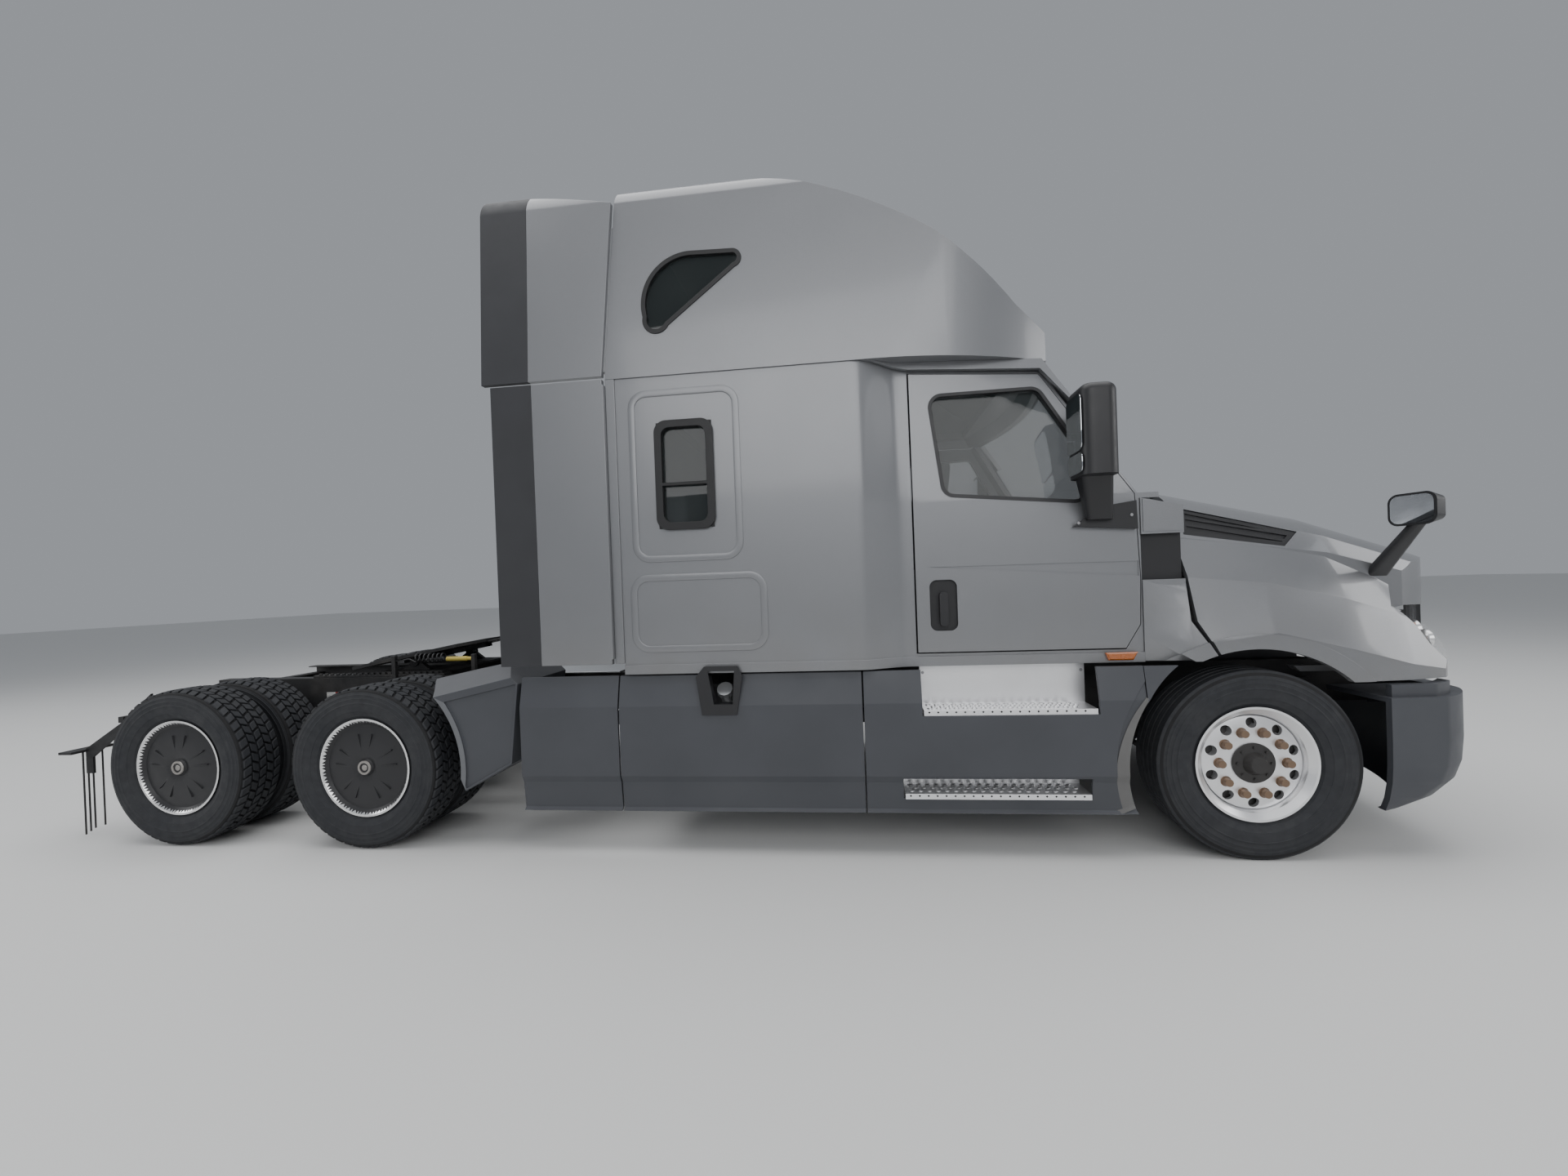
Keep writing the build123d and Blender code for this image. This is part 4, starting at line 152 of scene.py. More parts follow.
def mixColour(tree, factor, first, second):   # the node's colour sockets are inputs 6 and 7 and output 2
    node = tree.nodes.new("ShaderNodeMix")
    node.data_type = "RGBA"
    for socket, value in ((node.inputs[0], factor), (node.inputs[6], first), (node.inputs[7], second)):
        if isinstance(value, tuple):
            socket.default_value = value
        else:
            tree.links.new(value, socket)
    return node.outputs[2]


def bump(tree, shader, height, strength, distance):
    node = tree.nodes.new("ShaderNodeBump")
    setInputs(node, {"Strength": strength, "Distance": distance})
    tree.links.new(height, node.inputs["Height"])
    tree.links.new(node.outputs["Normal"], shader.inputs["Normal"])


def heightFade(tree, low, high):   # 1 at the low height, falling to 0 at the high one
    coords = tree.nodes.new("ShaderNodeTexCoord")
    split = tree.nodes.new("ShaderNodeSeparateXYZ")
    tree.links.new(coords.outputs["Object"], split.inputs[0])
    node = tree.nodes.new("ShaderNodeMapRange")
    setInputs(node, {"From Min": low, "From Max": high, "To Min": 1, "To Max": 0})
    tree.links.new(split.outputs["Z"], node.inputs["Value"])
    return node.outputs["Result"]


def product(tree, first, second):
    node = tree.nodes.new("ShaderNodeMath")
    node.operation = "MULTIPLY"
    tree.links.new(first, node.inputs[0])
    tree.links.new(second, node.inputs[1])
    return node.outputs[0]


# Finishes
def silverPaint():
    finish = {
        "colour": (0.200, 0.204, 0.214, 1), "flake": (0.285, 0.290, 0.302, 1), "dust": (0.20, 0.185, 0.165, 1),
        "dustLow": 0.95, "dustHigh": 1.6,
    }
    material, tree, shader = newMaterial("silverPaint")
    vector = objectCoords(tree)
    flakes = fade(tree, noise(tree, vector, scale=1600, detail=2), start=0.4, end=0.62)
    tone = mixColour(tree, flakes, finish["colour"], finish["flake"])
    film = fade(tree, noise(tree, vector, scale=3.5, detail=6), start=0.35, end=0.75, top=0.30)
    dirt = product(tree, heightFade(tree, finish["dustLow"], finish["dustHigh"]), film)
    tree.links.new(mixColour(tree, dirt, tone, finish["dust"]), shader.inputs["Base Color"])
    roughen(tree, shader, noise(tree, vector, scale=2.5), low=0.38, high=0.42)
    setInputs(shader, {"Metallic": 0.62, "Coat Weight": 0.55, "Coat Roughness": 0.10})
    return material


def slatePlastic(name, colour, worn, streak):
    material, tree, shader = newMaterial(name)
    vector = objectCoords(tree)
    cloud = fade(tree, noise(tree, vector, scale=2.2, detail=3), start=0.30, end=0.75, top=0.45)
    tone = mixColour(tree, cloud, colour, worn)
    drawn = noise(tree, objectCoords(tree, (4, 1, 60)), scale=5, detail=10, rough=0.75)
    scuffs = fade(tree, drawn, start=0.66, end=0.76, top=0.35)
    tree.links.new(mixColour(tree, scuffs, tone, streak), shader.inputs["Base Color"])
    roughen(tree, shader, noise(tree, vector, scale=7, detail=5), low=0.46, high=0.58)
    bump(tree, shader, noise(tree, vector, scale=900, detail=2), strength=0.12, distance=0.0008)
    return material


def moulded(name, colour, roughness, grain=600, strength=0.15):
    material, tree, shader = newMaterial(name)
    vector = objectCoords(tree)
    dark = (*(part * 0.92 for part in colour), 1)
    light = (*(part * 1.1 for part in colour), 1)
    tone = ramp(tree, noise(tree, vector, scale=5), (0.3, dark), (0.7, light))
    tree.links.new(tone, shader.inputs["Base Color"])
    roughen(tree, shader, noise(tree, vector, scale=20), roughness - 0.03, roughness + 0.05)
    bump(tree, shader, noise(tree, vector, grain, detail=3), strength, distance=0.0006)
    return material


def dustyBlack():
    finish = {"colour": (0.016, 0.016, 0.017, 1), "dust": (0.11, 0.10, 0.09, 1)}
    material, tree, shader = newMaterial("dustyBlack")
    vector = objectCoords(tree)
    dust = fade(tree, noise(tree, vector, scale=4, detail=6, rough=0.55), start=0.45, end=0.8, top=0.35)
    tree.links.new(mixColour(tree, dust, finish["colour"], finish["dust"]), shader.inputs["Base Color"])
    roughen(tree, shader, noise(tree, vector, scale=15), low=0.45, high=0.75)
    bump(tree, shader, noise(tree, vector, scale=120, detail=5), strength=0.2, distance=0.001)
    return material


def brightMetal(name, colour, roughness, brushed=(1, 1, 1)):
    material, tree, shader = newMaterial(name)
    vector = objectCoords(tree, brushed)
    grime = {"colour": (0.20, 0.18, 0.16, 1), "share": 0.12}
    dirt = fade(tree, noise(tree, objectCoords(tree), scale=3, detail=5), start=0.5, end=0.9, top=grime["share"])
    tree.links.new(mixColour(tree, dirt, colour, grime["colour"]), shader.inputs["Base Color"])
    roughen(tree, shader, noise(tree, vector, scale=3, detail=2), roughness * 0.96, roughness * 1.06)
    setInputs(shader, {"Metallic": 0.85})
    return material


def tyreRubber(name, colour, dustColour, dustShare):
    material, tree, shader = newMaterial(name)
    vector = objectCoords(tree)
    dust = fade(tree, noise(tree, vector, scale=5, detail=5, rough=0.55), start=0.4, end=0.8, top=dustShare)
    tree.links.new(mixColour(tree, dust, colour, dustColour), shader.inputs["Base Color"])
    roughen(tree, shader, noise(tree, vector, scale=25, detail=5), low=0.6, high=0.8)
    bump(tree, shader, noise(tree, vector, scale=300), strength=0.12, distance=0.0006)
    return material


def tintedGlass(name, colour, cover, roughness=0.0):   # cover: the share of the view that each face hides
    material, tree, shader = newMaterial(name)
    setInputs(shader, {
        "Base Color": colour, "Alpha": cover, "IOR": 1.5, "Coat Weight": 1.0, "Coat Roughness": 0.02,
    })
    smears = noise(tree, objectCoords(tree), scale=6, detail=5)
    roughen(tree, shader, smears, roughness, roughness + 0.05, span=(0.4, 0.8))
    return material


def lens(name, colour):
    material, tree, shader = newMaterial(name)
    wave = tree.nodes.new("ShaderNodeTexWave")
    setInputs(wave, {"Scale": 40})
    tree.links.new(objectCoords(tree), wave.inputs["Vector"])
    bump(tree, shader, wave.outputs["Fac"], strength=0.35, distance=0.002)
    setInputs(shader, {"Base Color": colour, "Transmission Weight": 0.35, "Roughness": 0.08, "Coat Weight": 1.0})
    return material


def wovenSeat():
    material, tree, shader = newMaterial("wovenSeat")
    weave = noise(tree, objectCoords(tree), scale=400, detail=3)
    tone = ramp(tree, weave, (0.3, (0.03, 0.03, 0.034, 1)), (0.7, (0.09, 0.09, 0.1, 1)))
    tree.links.new(tone, shader.inputs["Base Color"])
    setInputs(shader, {"Roughness": 0.9})
    bump(tree, shader, weave, strength=0.4, distance=0.001)
    return material


def mirrorGlass():
    material, tree, shader = newMaterial("mirrorGlass")
    haze = noise(tree, objectCoords(tree), scale=6)
    tone = ramp(tree, haze, (0.3, (0.62, 0.65, 0.68, 1)), (0.8, (0.70, 0.73, 0.76, 1)))
    tree.links.new(tone, shader.inputs["Base Color"])
    setInputs(shader, {"Metallic": 1.0, "Roughness": 0.03})
    return material


finishes = {
    "body_paint": silverPaint(),
    "slate_plastic": slatePlastic(
        "slatePlastic", (0.054, 0.057, 0.066, 1), (0.080, 0.084, 0.094, 1), (0.14, 0.143, 0.152, 1),
    ),
    "black_plastic": moulded("blackPlastic", (0.018, 0.018, 0.02), 0.42),
    "chassis_black": dustyBlack(),
    "engine_grey": moulded("engineCasting", (0.10, 0.10, 0.105), 0.6, 90, 0.3),
    "bright_aluminium": brightMetal("polishedAluminium", (0.88, 0.88, 0.89, 1), 0.36),
    "tank_aluminium": brightMetal("millAluminium", (0.55, 0.56, 0.57, 1), 0.38, (1, 40, 40)),
    "rubber": moulded("edgeRubber", (0.030, 0.031, 0.035), 0.55, 300, 0.15),
    "tyre": tyreRubber("tyreRubber", (0.019, 0.0205, 0.0245, 1), (0.055, 0.054, 0.053, 1), 0.3),
    "tinted_glass": tintedGlass("tintedGlass", (0.030, 0.040, 0.040, 1), 0.30),
    "lamp_lens": tintedGlass("lampLens", (0.45, 0.45, 0.45, 1), 0.05, 0.02),
    "red_lens": lens("redLens", (0.45, 0.015, 0.01, 1)),
    "amber_lens": lens("amberLens", (0.62, 0.16, 0.012, 1)),
    "coupling_iron": dustyBlack(),
    "seat_fabric": wovenSeat(),
    "cable_black": moulded("cableSheath", (0.015, 0.015, 0.016), 0.35),
    "grip_yellow": moulded("gripYellow", (0.55, 0.43, 0.09), 0.5),
    "wheel_cover": moulded("wheelCover", (0.019, 0.019, 0.021), 0.42, 400, 0.12),
    # below: finishes that are no slot of the record
    "paleEdge": slatePlastic("paleEdge", (0.13, 0.135, 0.145, 1), (0.17, 0.175, 0.185, 1), (0.22, 0.22, 0.23, 1)),
    "lidGrey": slatePlastic("lidGrey", (0.105, 0.108, 0.116, 1), (0.14, 0.143, 0.15, 1), (0.2, 0.2, 0.21, 1)),
    "frameBlack": moulded("frameBlack", (0.011, 0.011, 0.012), 0.45, 300, 0.1),
    "lightStrip": moulded("lightStrip", (0.13, 0.128, 0.125), 0.6, 500, 0.2),
    "lugBrown": brightMetal("lugBrown", (0.24, 0.165, 0.115, 1), 0.42),
    "hubDark": moulded("hubDark", (0.03, 0.028, 0.027), 0.5, 200, 0.25),
    "capGrey": brightMetal("capGrey", (0.38, 0.36, 0.34, 1), 0.4),
    "rimBright": brightMetal("rimBright", (0.82, 0.82, 0.82, 1), 0.24),
    "mirrorGlass": mirrorGlass(),
    # painted shade, for holes and the step rings' cups
    "holeDark": moulded("holeDark", (0.008, 0.008, 0.009), 0.7),
    # painted shade, for the floor of the tyres' grooves
    "grooveDark": moulded("grooveDark", (0.009, 0.009, 0.010), 0.8, 200, 0.2),
    "boltSteel": brightMetal("boltSteel", (0.33, 0.33, 0.34, 1), 0.42),
    "whiteLens": lens("whiteLens", (0.72, 0.72, 0.70, 1)),
}
slotOf = {item["node"]: item["material_slot"] for item in record["subparts"]}
bodyOf = {node: body for body, members in record["behaviour"]["bodies"].items() for node in members}
print("finishes made:", len(finishes))


# Dressing of the rigid nodes: a merged copy with rounded edges in its finish stands for each
edgeRound = {"default": 0.003, "small": 0.0015}
smallPieces = {
    "grille", "tail_lamps", "headlamps", "mudflap_hangers", "steps", "slider", "hood_fittings", "side_inserts",
    "marker_lamps",
}
rebuiltNodes = {"cable_coil", "cable_tail", "seats_and_bunk"} | {name for name in nodes if name.startswith("tyre")}


# Places that a zone's border keeps to, in metres
zoneEdge = {
    "hub": 0.107,   # radii around the axle
    "hubOut": 0.03,   # outboard of the tyre's middle
    "lugs": (0.146, 0.189),
    "lugsOut": 0.0795,
    "rim": 0.2815,
    "fenderSide": 1.2105,   # half width of the fenders' flat sides
    "fenderArch": 0.686,
    "fenderLid": 0.93,
    "frames": 3.38,   # how far behind the steering axle the window frames reach
}


def wheelRadius(centre, axleX):
    return math.hypot(centre.x - axleX, centre.z - wheelZ)


def frontWheelZone(centre):
    radius = wheelRadius(centre, steerX)
    out = abs(centre.y) - wheelMiddle["front"]
    if radius < zoneEdge["hub"] and out > zoneEdge["hubOut"]:
        return "hubDark"
    near, far = zoneEdge["lugs"]
    return "lugBrown" if near < radius < far and out > zoneEdge["lugsOut"] else None


def rearWheelZone(centre):
    axleX = driveX if centre.x > (driveX + tailX) / 2 else tailX
    return "rimBright" if wheelRadius(centre, axleX) > zoneEdge["rim"] else None


def quarterZone(centre):
    side = abs(centre.y)
    if side > zoneEdge["fenderSide"] and wheelRadius(centre, driveX) < zoneEdge["fenderArch"]:
        return "paleEdge"
    return "lidGrey" if side < zoneEdge["fenderSide"] and centre.z > zoneEdge["fenderLid"] else None


def windowFrameZone(centre):
    return "frameBlack" if centre.x > steerX - zoneEdge["frames"] else None


# Degrees: an edge sharper than the crease angle stays an edge, and facets within the flat angle become one face
creaseAngles = {"default": 28, "hood": 13, "skirts": 8, "quarter_fenders": 10, "extenders": 9, "rubber_trim": 14}
flatAngles = {"default": 0.6}
flatAngles.update({name: 0.05 for name in ("hood", "roof_cap", "cab_front", "cowl_sides", "bumper")})
evenShaded = {"hood", "roof_cap", "cab_front", "bumper", "cowl_sides", "cab_sides", "door_left", "door_right"}
faceZones = {
    "rubber_trim": windowFrameZone,
    "quarter_fenders": quarterZone,
    "wheel_front_left": frontWheelZone, "wheel_front_right": frontWheelZone,
    "wheels_drive_left": rearWheelZone, "wheels_drive_right": rearWheelZone,
    "wheels_tail_left": rearWheelZone, "wheels_tail_right": rearWheelZone,
}


def sharpen(bm, angle):
    for edge in bm.edges:
        if len(edge.link_faces) == 2 and edge.calc_face_angle(0) > angle:
            edge.smooth = False


def dressNode(name):
    mesh = nodes[name].data.copy()
    piece = newObject(name.replace("_", "-"), mesh)
    mesh.materials.clear()
    mesh.materials.append(finishes[slotOf[name]])
    bm = bmesh.new()
    bm.from_mesh(mesh)
    bmesh.ops.remove_doubles(bm, verts=bm.verts, dist=0.00002)
    slots = {}
    for face in bm.faces:
        face.smooth = True
        face.material_index = 0
        zone = faceZones[name](face.calc_center_median()) if name in faceZones else None
        if zone:
            if zone not in slots:
                mesh.materials.append(finishes[zone])
                slots[zone] = len(mesh.materials) - 1
            face.material_index = slots[zone]
    flat = math.radians(flatAngles.get(name, flatAngles["default"]))
    bmesh.ops.dissolve_limit(bm, angle_limit=flat, verts=bm.verts, edges=bm.edges, delimit={"MATERIAL"})
    sharp = math.radians(creaseAngles.get(name, creaseAngles["default"]))
    sharpen(bm, sharp)
    bm.to_mesh(mesh)
    bm.free()
    modifier = piece.modifiers.new("roundEdges", "BEVEL")
    modifier.width = edgeRound["small"] if name in smallPieces else edgeRound["default"]
    modifier.segments = 2
    modifier.limit_method = "ANGLE"
    modifier.angle_limit = sharp
    modifier.harden_normals = True
    if name in evenShaded:
        piece.modifiers.new("evenShading", "WEIGHTED_NORMAL").keep_sharp = True
    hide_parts(name)
    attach(piece, bodyOf[name])
    return piece


dressed = {name: dressNode(name) for name in nodes if name not in rebuiltNodes}
print("nodes dressed:", len(dressed))


# Mesh helpers for the new pieces
def finishMesh(bm, name, body, looks, sharpDegrees=30):   # looks: names of finishes
    for face in bm.faces:
        face.smooth = True
    sharpen(bm, math.radians(sharpDegrees))
    mesh = bpy.data.meshes.new(name)
    bm.to_mesh(mesh)
    bm.free()
    for look in looks:
        mesh.materials.append(finishes[look])
    piece = newObject(name, mesh)
    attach(piece, body)
    return piece


def spinRing(bm, centre, profile, steps):   # profile points are (along Y, radius), a closed loop
    verts = [bm.verts.new((centre[0], centre[1] + out, centre[2] + radius)) for out, radius in profile]
    edges = [bm.edges.new((first, second)) for first, second in zip(verts, verts[1:] + verts[:1])]
    before = set(bm.faces)
    bmesh.ops.spin(
        bm, geom=verts + edges, cent=centre, axis=(0, 1, 0), angle=2 * math.pi, steps=steps, use_merge=True,
    )
    faces = [face for face in bm.faces if face not in before]
    bmesh.ops.recalc_face_normals(bm, faces=faces)
    return faces


def roundOff(bm, parts, offset, segments, affect="EDGES"):
    bmesh.ops.bevel(bm, geom=parts, offset=offset, segments=segments, profile=0.5, affect=affect, material=-1)


def boltHead(bm, place, side, radius, height, corners=6, material=0, taper=0.86):   # its axis is Y
    turn = Matrix.Rotation(math.radians(-side * 90), 4, "X")
    turn.translation = Vector(place) + Vector((0, side * height / 2, 0))
    made = bmesh.ops.create_cone(
        bm, cap_ends=True, cap_tris=False, segments=corners, radius1=radius, radius2=radius * taper, depth=height,
        matrix=turn,
    )["verts"]
    for face in {face for vert in made for face in vert.link_faces}:
        face.material_index = material


def plate(bm, low, high, rounding=0.002, material=0):
    made = bmesh.ops.create_cube(bm, size=1.0)["verts"]
    size = [top - bottom for bottom, top in zip(low, high)]
    bmesh.ops.scale(bm, verts=made, vec=size)
    bmesh.ops.translate(bm, verts=made, vec=[(bottom + top) / 2 for bottom, top in zip(low, high)])
    faces = {face for vert in made for face in vert.link_faces}
    for face in faces:
        face.material_index = material
    roundOff(bm, list({edge for face in faces for edge in face.edges}), rounding, 2)


def addSpline(curve, places, thick=1.0):
    spline = curve.splines.new("NURBS")
    spline.points.add(len(places) - 1)
    for point, place in zip(spline.points, places):
        point.co = (*place, 1)
        point.radius = thick
    spline.order_u = 3
    spline.use_endpoint_u = True
    spline.resolution_u = 4


def newCurve(name, depth, resolution, look):
    curve = bpy.data.curves.new(name, "CURVE")
    curve.dimensions = "3D"
    curve.bevel_depth = depth
    curve.bevel_resolution = resolution
    curve.materials.append(finishes[look])
    piece = newObject(name, curve)
    return piece, curve


# Tyres: spun walls with ring lines, ribs in front and rows of skewed blocks behind
tyreShape = {
    "halfWall": (   # (from the middle, radius)
        (0.101, 0.2865), (0.104, 0.3085), (0.113, 0.3200), (0.1165, 0.3215), (0.118, 0.3250), (0.131, 0.3520),
        (0.1335, 0.3535), (0.1375, 0.3800), (0.1395, 0.3985), (0.1415, 0.4010), (0.1415, 0.4060), (0.1395, 0.4085),
        (0.1385, 0.4250), (0.1395, 0.4270), (0.1395, 0.4330), (0.1375, 0.4350), (0.1360, 0.4480), (0.1370, 0.4500),
        (0.1365, 0.4560), (0.1345, 0.4580), (0.1320, 0.4700),
    ),
    "frontTread": (
        (0.128, 0.486), (0.118, 0.4985), (0.079, 0.4995), (0.076, 0.486), (0.067, 0.486), (0.064, 0.5),
        (0.032, 0.5), (0.029, 0.486), (0.020, 0.486), (0.017, 0.5),
    ),
    "rearTread": ((0.127, 0.480), (0.116, 0.4845)),
    "rows": (-0.0955, -0.048, 0, 0.048, 0.0955),
    "rowWidth": 0.0385,
    "blocks": 50,
    "blockLength": 0.047,
    "blockHeight": 0.026,
    "blockMiddle": 0.487,   # radius of the blocks' centres
    "blockEdge": 0.0025,
    "skew": 0.011,
    "rowShift": 0.21,   # each row lags the one before by this share of a block
    "shoulder": 0.11,   # beyond this distance from the middle the blocks slope
    "shoulderDrop": 0.007,
    "shoulderOut": 0.004,
    "floor": (0.474, 0.4875),   # radii of the tread's floor
    "steps": 96,
    "crease": 32,   # degrees
}


def grooveFaces(faces):   # painted shade: the tread's floor is darker than its top
    for face in faces:
        centre = face.calc_center_median()
        radius = min(wheelRadius(centre, axleX) for axleX in (steerX, driveX, tailX))
        if tyreShape["floor"][0] < radius < tyreShape["floor"][1]:
            face.material_index = 1


def tyreProfile(tread):
    half = list(tyreShape["halfWall"]) + list(tyreShape[tread])
    return half + [(-out, radius) for out, radius in reversed(half)]


def treadRow(bm, centre, place, index):
    others = set(bm.faces)
    made = bmesh.ops.create_cube(bm, size=1.0)["verts"]
    block = (tyreShape["blockLength"], tyreShape["rowWidth"], tyreShape["blockHeight"])
    bmesh.ops.scale(bm, verts=made, vec=block)
    middle = centre + Vector((0, place, tyreShape["blockMiddle"]))
    bmesh.ops.translate(bm, verts=made, vec=middle)
    turn = 1 if index % 2 else -1
    for vert in made:
        across = (vert.co.y - middle.y) / tyreShape["rowWidth"]
        vert.co.x += turn * 2 * tyreShape["skew"] * across
        if abs(vert.co.y - centre.y) > tyreShape["shoulder"]:
            vert.co.z -= tyreShape["shoulderDrop"]
            vert.co.y += math.copysign(tyreShape["shoulderOut"], place)
    roundOff(bm, list({edge for vert in made for edge in vert.link_edges}), tyreShape["blockEdge"], 1)
    faces = [face for face in bm.faces if face not in others]
    verts = list({vert for face in faces for vert in face.verts})
    edges = list({edge for face in faces for edge in face.edges})
    pitch = 2 * math.pi / tyreShape["blocks"]
    turned = Matrix.Rotation(pitch * (0.5 * (index % 2) + tyreShape["rowShift"] * index), 3, "Y")
    bmesh.ops.rotate(bm, verts=verts, cent=centre, matrix=turned)
    bmesh.ops.spin(
        bm, geom=verts + edges + faces, cent=centre, axis=(0, 1, 0), angle=2 * math.pi - pitch,
        steps=tyreShape["blocks"] - 1, use_duplicate=True,
    )


def makeTyres(node, axleX, middles, tread):
    bm = bmesh.new()
    for middle in middles:
        centre = Vector((axleX, middle, wheelZ))
        grooveFaces(spinRing(bm, centre, tyreProfile(tread), tyreShape["steps"]))
        if tread == "rearTread":
            for index, place in enumerate(tyreShape["rows"]):
                treadRow(bm, centre, place, index)
    # the second finish is painted shade in the grooves
    looks = ["tyre", "grooveDark"]
    piece = finishMesh(bm, node.replace("_", "-"), bodyOf[node], looks, tyreShape["crease"])
    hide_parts(node)


for sideName, sign in sides.items():
    twins = (sign * wheelMiddle["rearOuter"], sign * wheelMiddle["rearInner"])
    makeTyres(f"tyre_front_{sideName}", steerX, (sign * wheelMiddle["front"],), "frontTread")
    makeTyres(f"tyres_drive_{sideName}", driveX, twins, "rearTread")
    makeTyres(f"tyres_tail_{sideName}", tailX, twins, "rearTread")
print("tyres made")


# Wheel centres: a ringed cap in each rear cover; on each front hub a dished cap, bolts, flanged lug nuts and a
# dark band of painted shade that closes the view through the hand holes
hubDetail = {
    "ring": ((0.1105, 0.029), (0.1160, 0.030), (0.1165, 0.042), (0.1105, 0.045)),
    "core": ((0.1105, 0.0005), (0.1150, 0.0005), (0.1150, 0.014), (0.1125, 0.018), (0.1105, 0.018)),
    "frontCap": ((0.1285, 0.0005), (0.1315, 0.0005), (0.1345, 0.030), (0.1345, 0.040), (0.1285, 0.0435)),
    "shade": ((0.033, 0.120), (0.033, 0.240), (-0.040, 0.240), (-0.040, 0.120)),
    "steps": 40,
    "bolts": {"count": 8, "circle": 0.084, "first": 0, "foot": 0.0885},   # foot: outboard of the tyre's middle
    "boltHead": ((0.008, 0.009, 6, 0),),   # radius, height, corners, finish
    "lugs": {"count": 10, "circle": 0.167, "first": 108, "foot": 0.0775},
    "lugNut": ((0.0285, 0.006, 16, 1), (0.0235, 0.034, 12, 1)),
}


def mirrored(profile, sign):
    return [(sign * out, radius) for out, radius in profile]


def boltCircle(bm, centre, sign, circle, heads):
    for index in range(circle["count"]):
        angle = math.radians(circle["first"]) + 2 * math.pi * index / circle["count"]
        along, up = circle["circle"] * math.cos(angle), circle["circle"] * math.sin(angle)
        for radius, height, corners, material in heads:
            place = centre + Vector((along, sign * circle["foot"], up))
            boltHead(bm, place, sign, radius, height, corners, material)


def makeHubs():
    for sideName, sign in sides.items():
        for axle, axleX in (("drive", driveX), ("tail", tailX)):
            bm = bmesh.new()
            centre = Vector((axleX, sign * wheelMiddle["rearOuter"], wheelZ))
            for profile in ("ring", "core"):
                spinRing(bm, centre, mirrored(hubDetail[profile], sign), hubDetail["steps"])
            finishMesh(bm, f"cap-{axle}-{sideName}", f"{axle}_wheels_{sideName}", ["capGrey"])
        bm = bmesh.new()
        centre = Vector((steerX, sign * wheelMiddle["front"], wheelZ))
        for profile in ("frontCap", "shade"):
            spinRing(bm, centre, mirrored(hubDetail[profile], sign), hubDetail["steps"])
        boltCircle(bm, centre, sign, hubDetail["bolts"], hubDetail["boltHead"])
        boltCircle(bm, centre, sign, hubDetail["lugs"], hubDetail["lugNut"])
        looks = ["hubDark", "lugBrown"]
        finishMesh(bm, f"hub-front-{sideName}", f"front_wheel_{sideName}", looks)


makeHubs()
print("hubs finished")


# Step treads: rows of raised rings with painted shade in their cups, and small dark marks of painted shade for
# holes along the front edge
stepTread = {
    "planks": ((-1.700, -0.816, 0.8203), (-1.814, -0.861, 0.3653)),   # back, front, height
    "rows": (1.080, 1.130, 1.180),
    "pitch": 0.0475,
    "margin": 0.04,
    "firstRing": 0.03,   # ahead of the plank's back
    "radius": 0.0165,
    "topShare": 0.78,
    "high": 0.005,
    "wall": 0.0042,
    "cupShare": 0.8,
    "firstHole": 0.02,
    "holeSide": 1.2285,
    "holeDrop": 0.011,
    "hole": (0.007, 0.0012, 4, 1),   # radius, height, corners, finish
}


def stepRing(bm, place):
    high = stepTread["high"]
    made = bmesh.ops.create_cone(
        bm, cap_ends=True, cap_tris=False, segments=12, radius1=stepTread["radius"],
        radius2=stepTread["radius"] * stepTread["topShare"], depth=high,
        matrix=Matrix.Translation(place + Vector((0, 0, high / 2))),
    )["verts"]
    top = max({face for vert in made for face in vert.link_faces}, key=lambda face: face.calc_center_median().z)
    bmesh.ops.inset_individual(bm, faces=[top], thickness=stepTread["wall"], depth=-high * stepTread["cupShare"])
    # the cup's floor gets painted shade, the finish of the holes
    top.material_index = 1


def makeStepRings():
    pitch = stepTread["pitch"]
    for sideName, sign in sides.items():
        bm = bmesh.new()
        for back, front, high in stepTread["planks"]:
            for rowIndex, row in enumerate(stepTread["rows"]):
                first = back + stepTread["firstRing"] + 0.5 * (rowIndex % 2) * pitch
                for index in range(int((front - back - stepTread["margin"]) / pitch)):
                    stepRing(bm, Vector((steerX + first + index * pitch, sign * row, high)))
            for index in range(int((front - back) / pitch)):
                place = (
                    steerX + back + stepTread["firstHole"] + index * pitch, sign * stepTread["holeSide"],
                    high - stepTread["holeDrop"],
                )
                # a dark mark of painted shade stands for each hole
                boltHead(bm, place, sign, *stepTread["hole"])
        looks = ["bright_aluminium", "holeDark"]
        finishMesh(bm, f"step-rings-{sideName}", "chassis", looks)


makeStepRings()
print("step treads made")


# Pressed bands in the sleeper's sides: low rounded frames round the berth window and below it
pressedBands = {
    "frames": (   # ahead of the axle, height, length, rise
        (-2.997, 2.183, 0.650, 0.990), (-2.946, 1.394, 0.798, 0.450),
    ),
    "corner": 0.105,
    "band": 0.040,
    "half": 1.2090,   # half width at the bands' foot, just inside the wall
    "proud": 0.0065,
    "round": 0.0045,
    "rimAngle": 60,   # degrees
    "crease": 40,
}


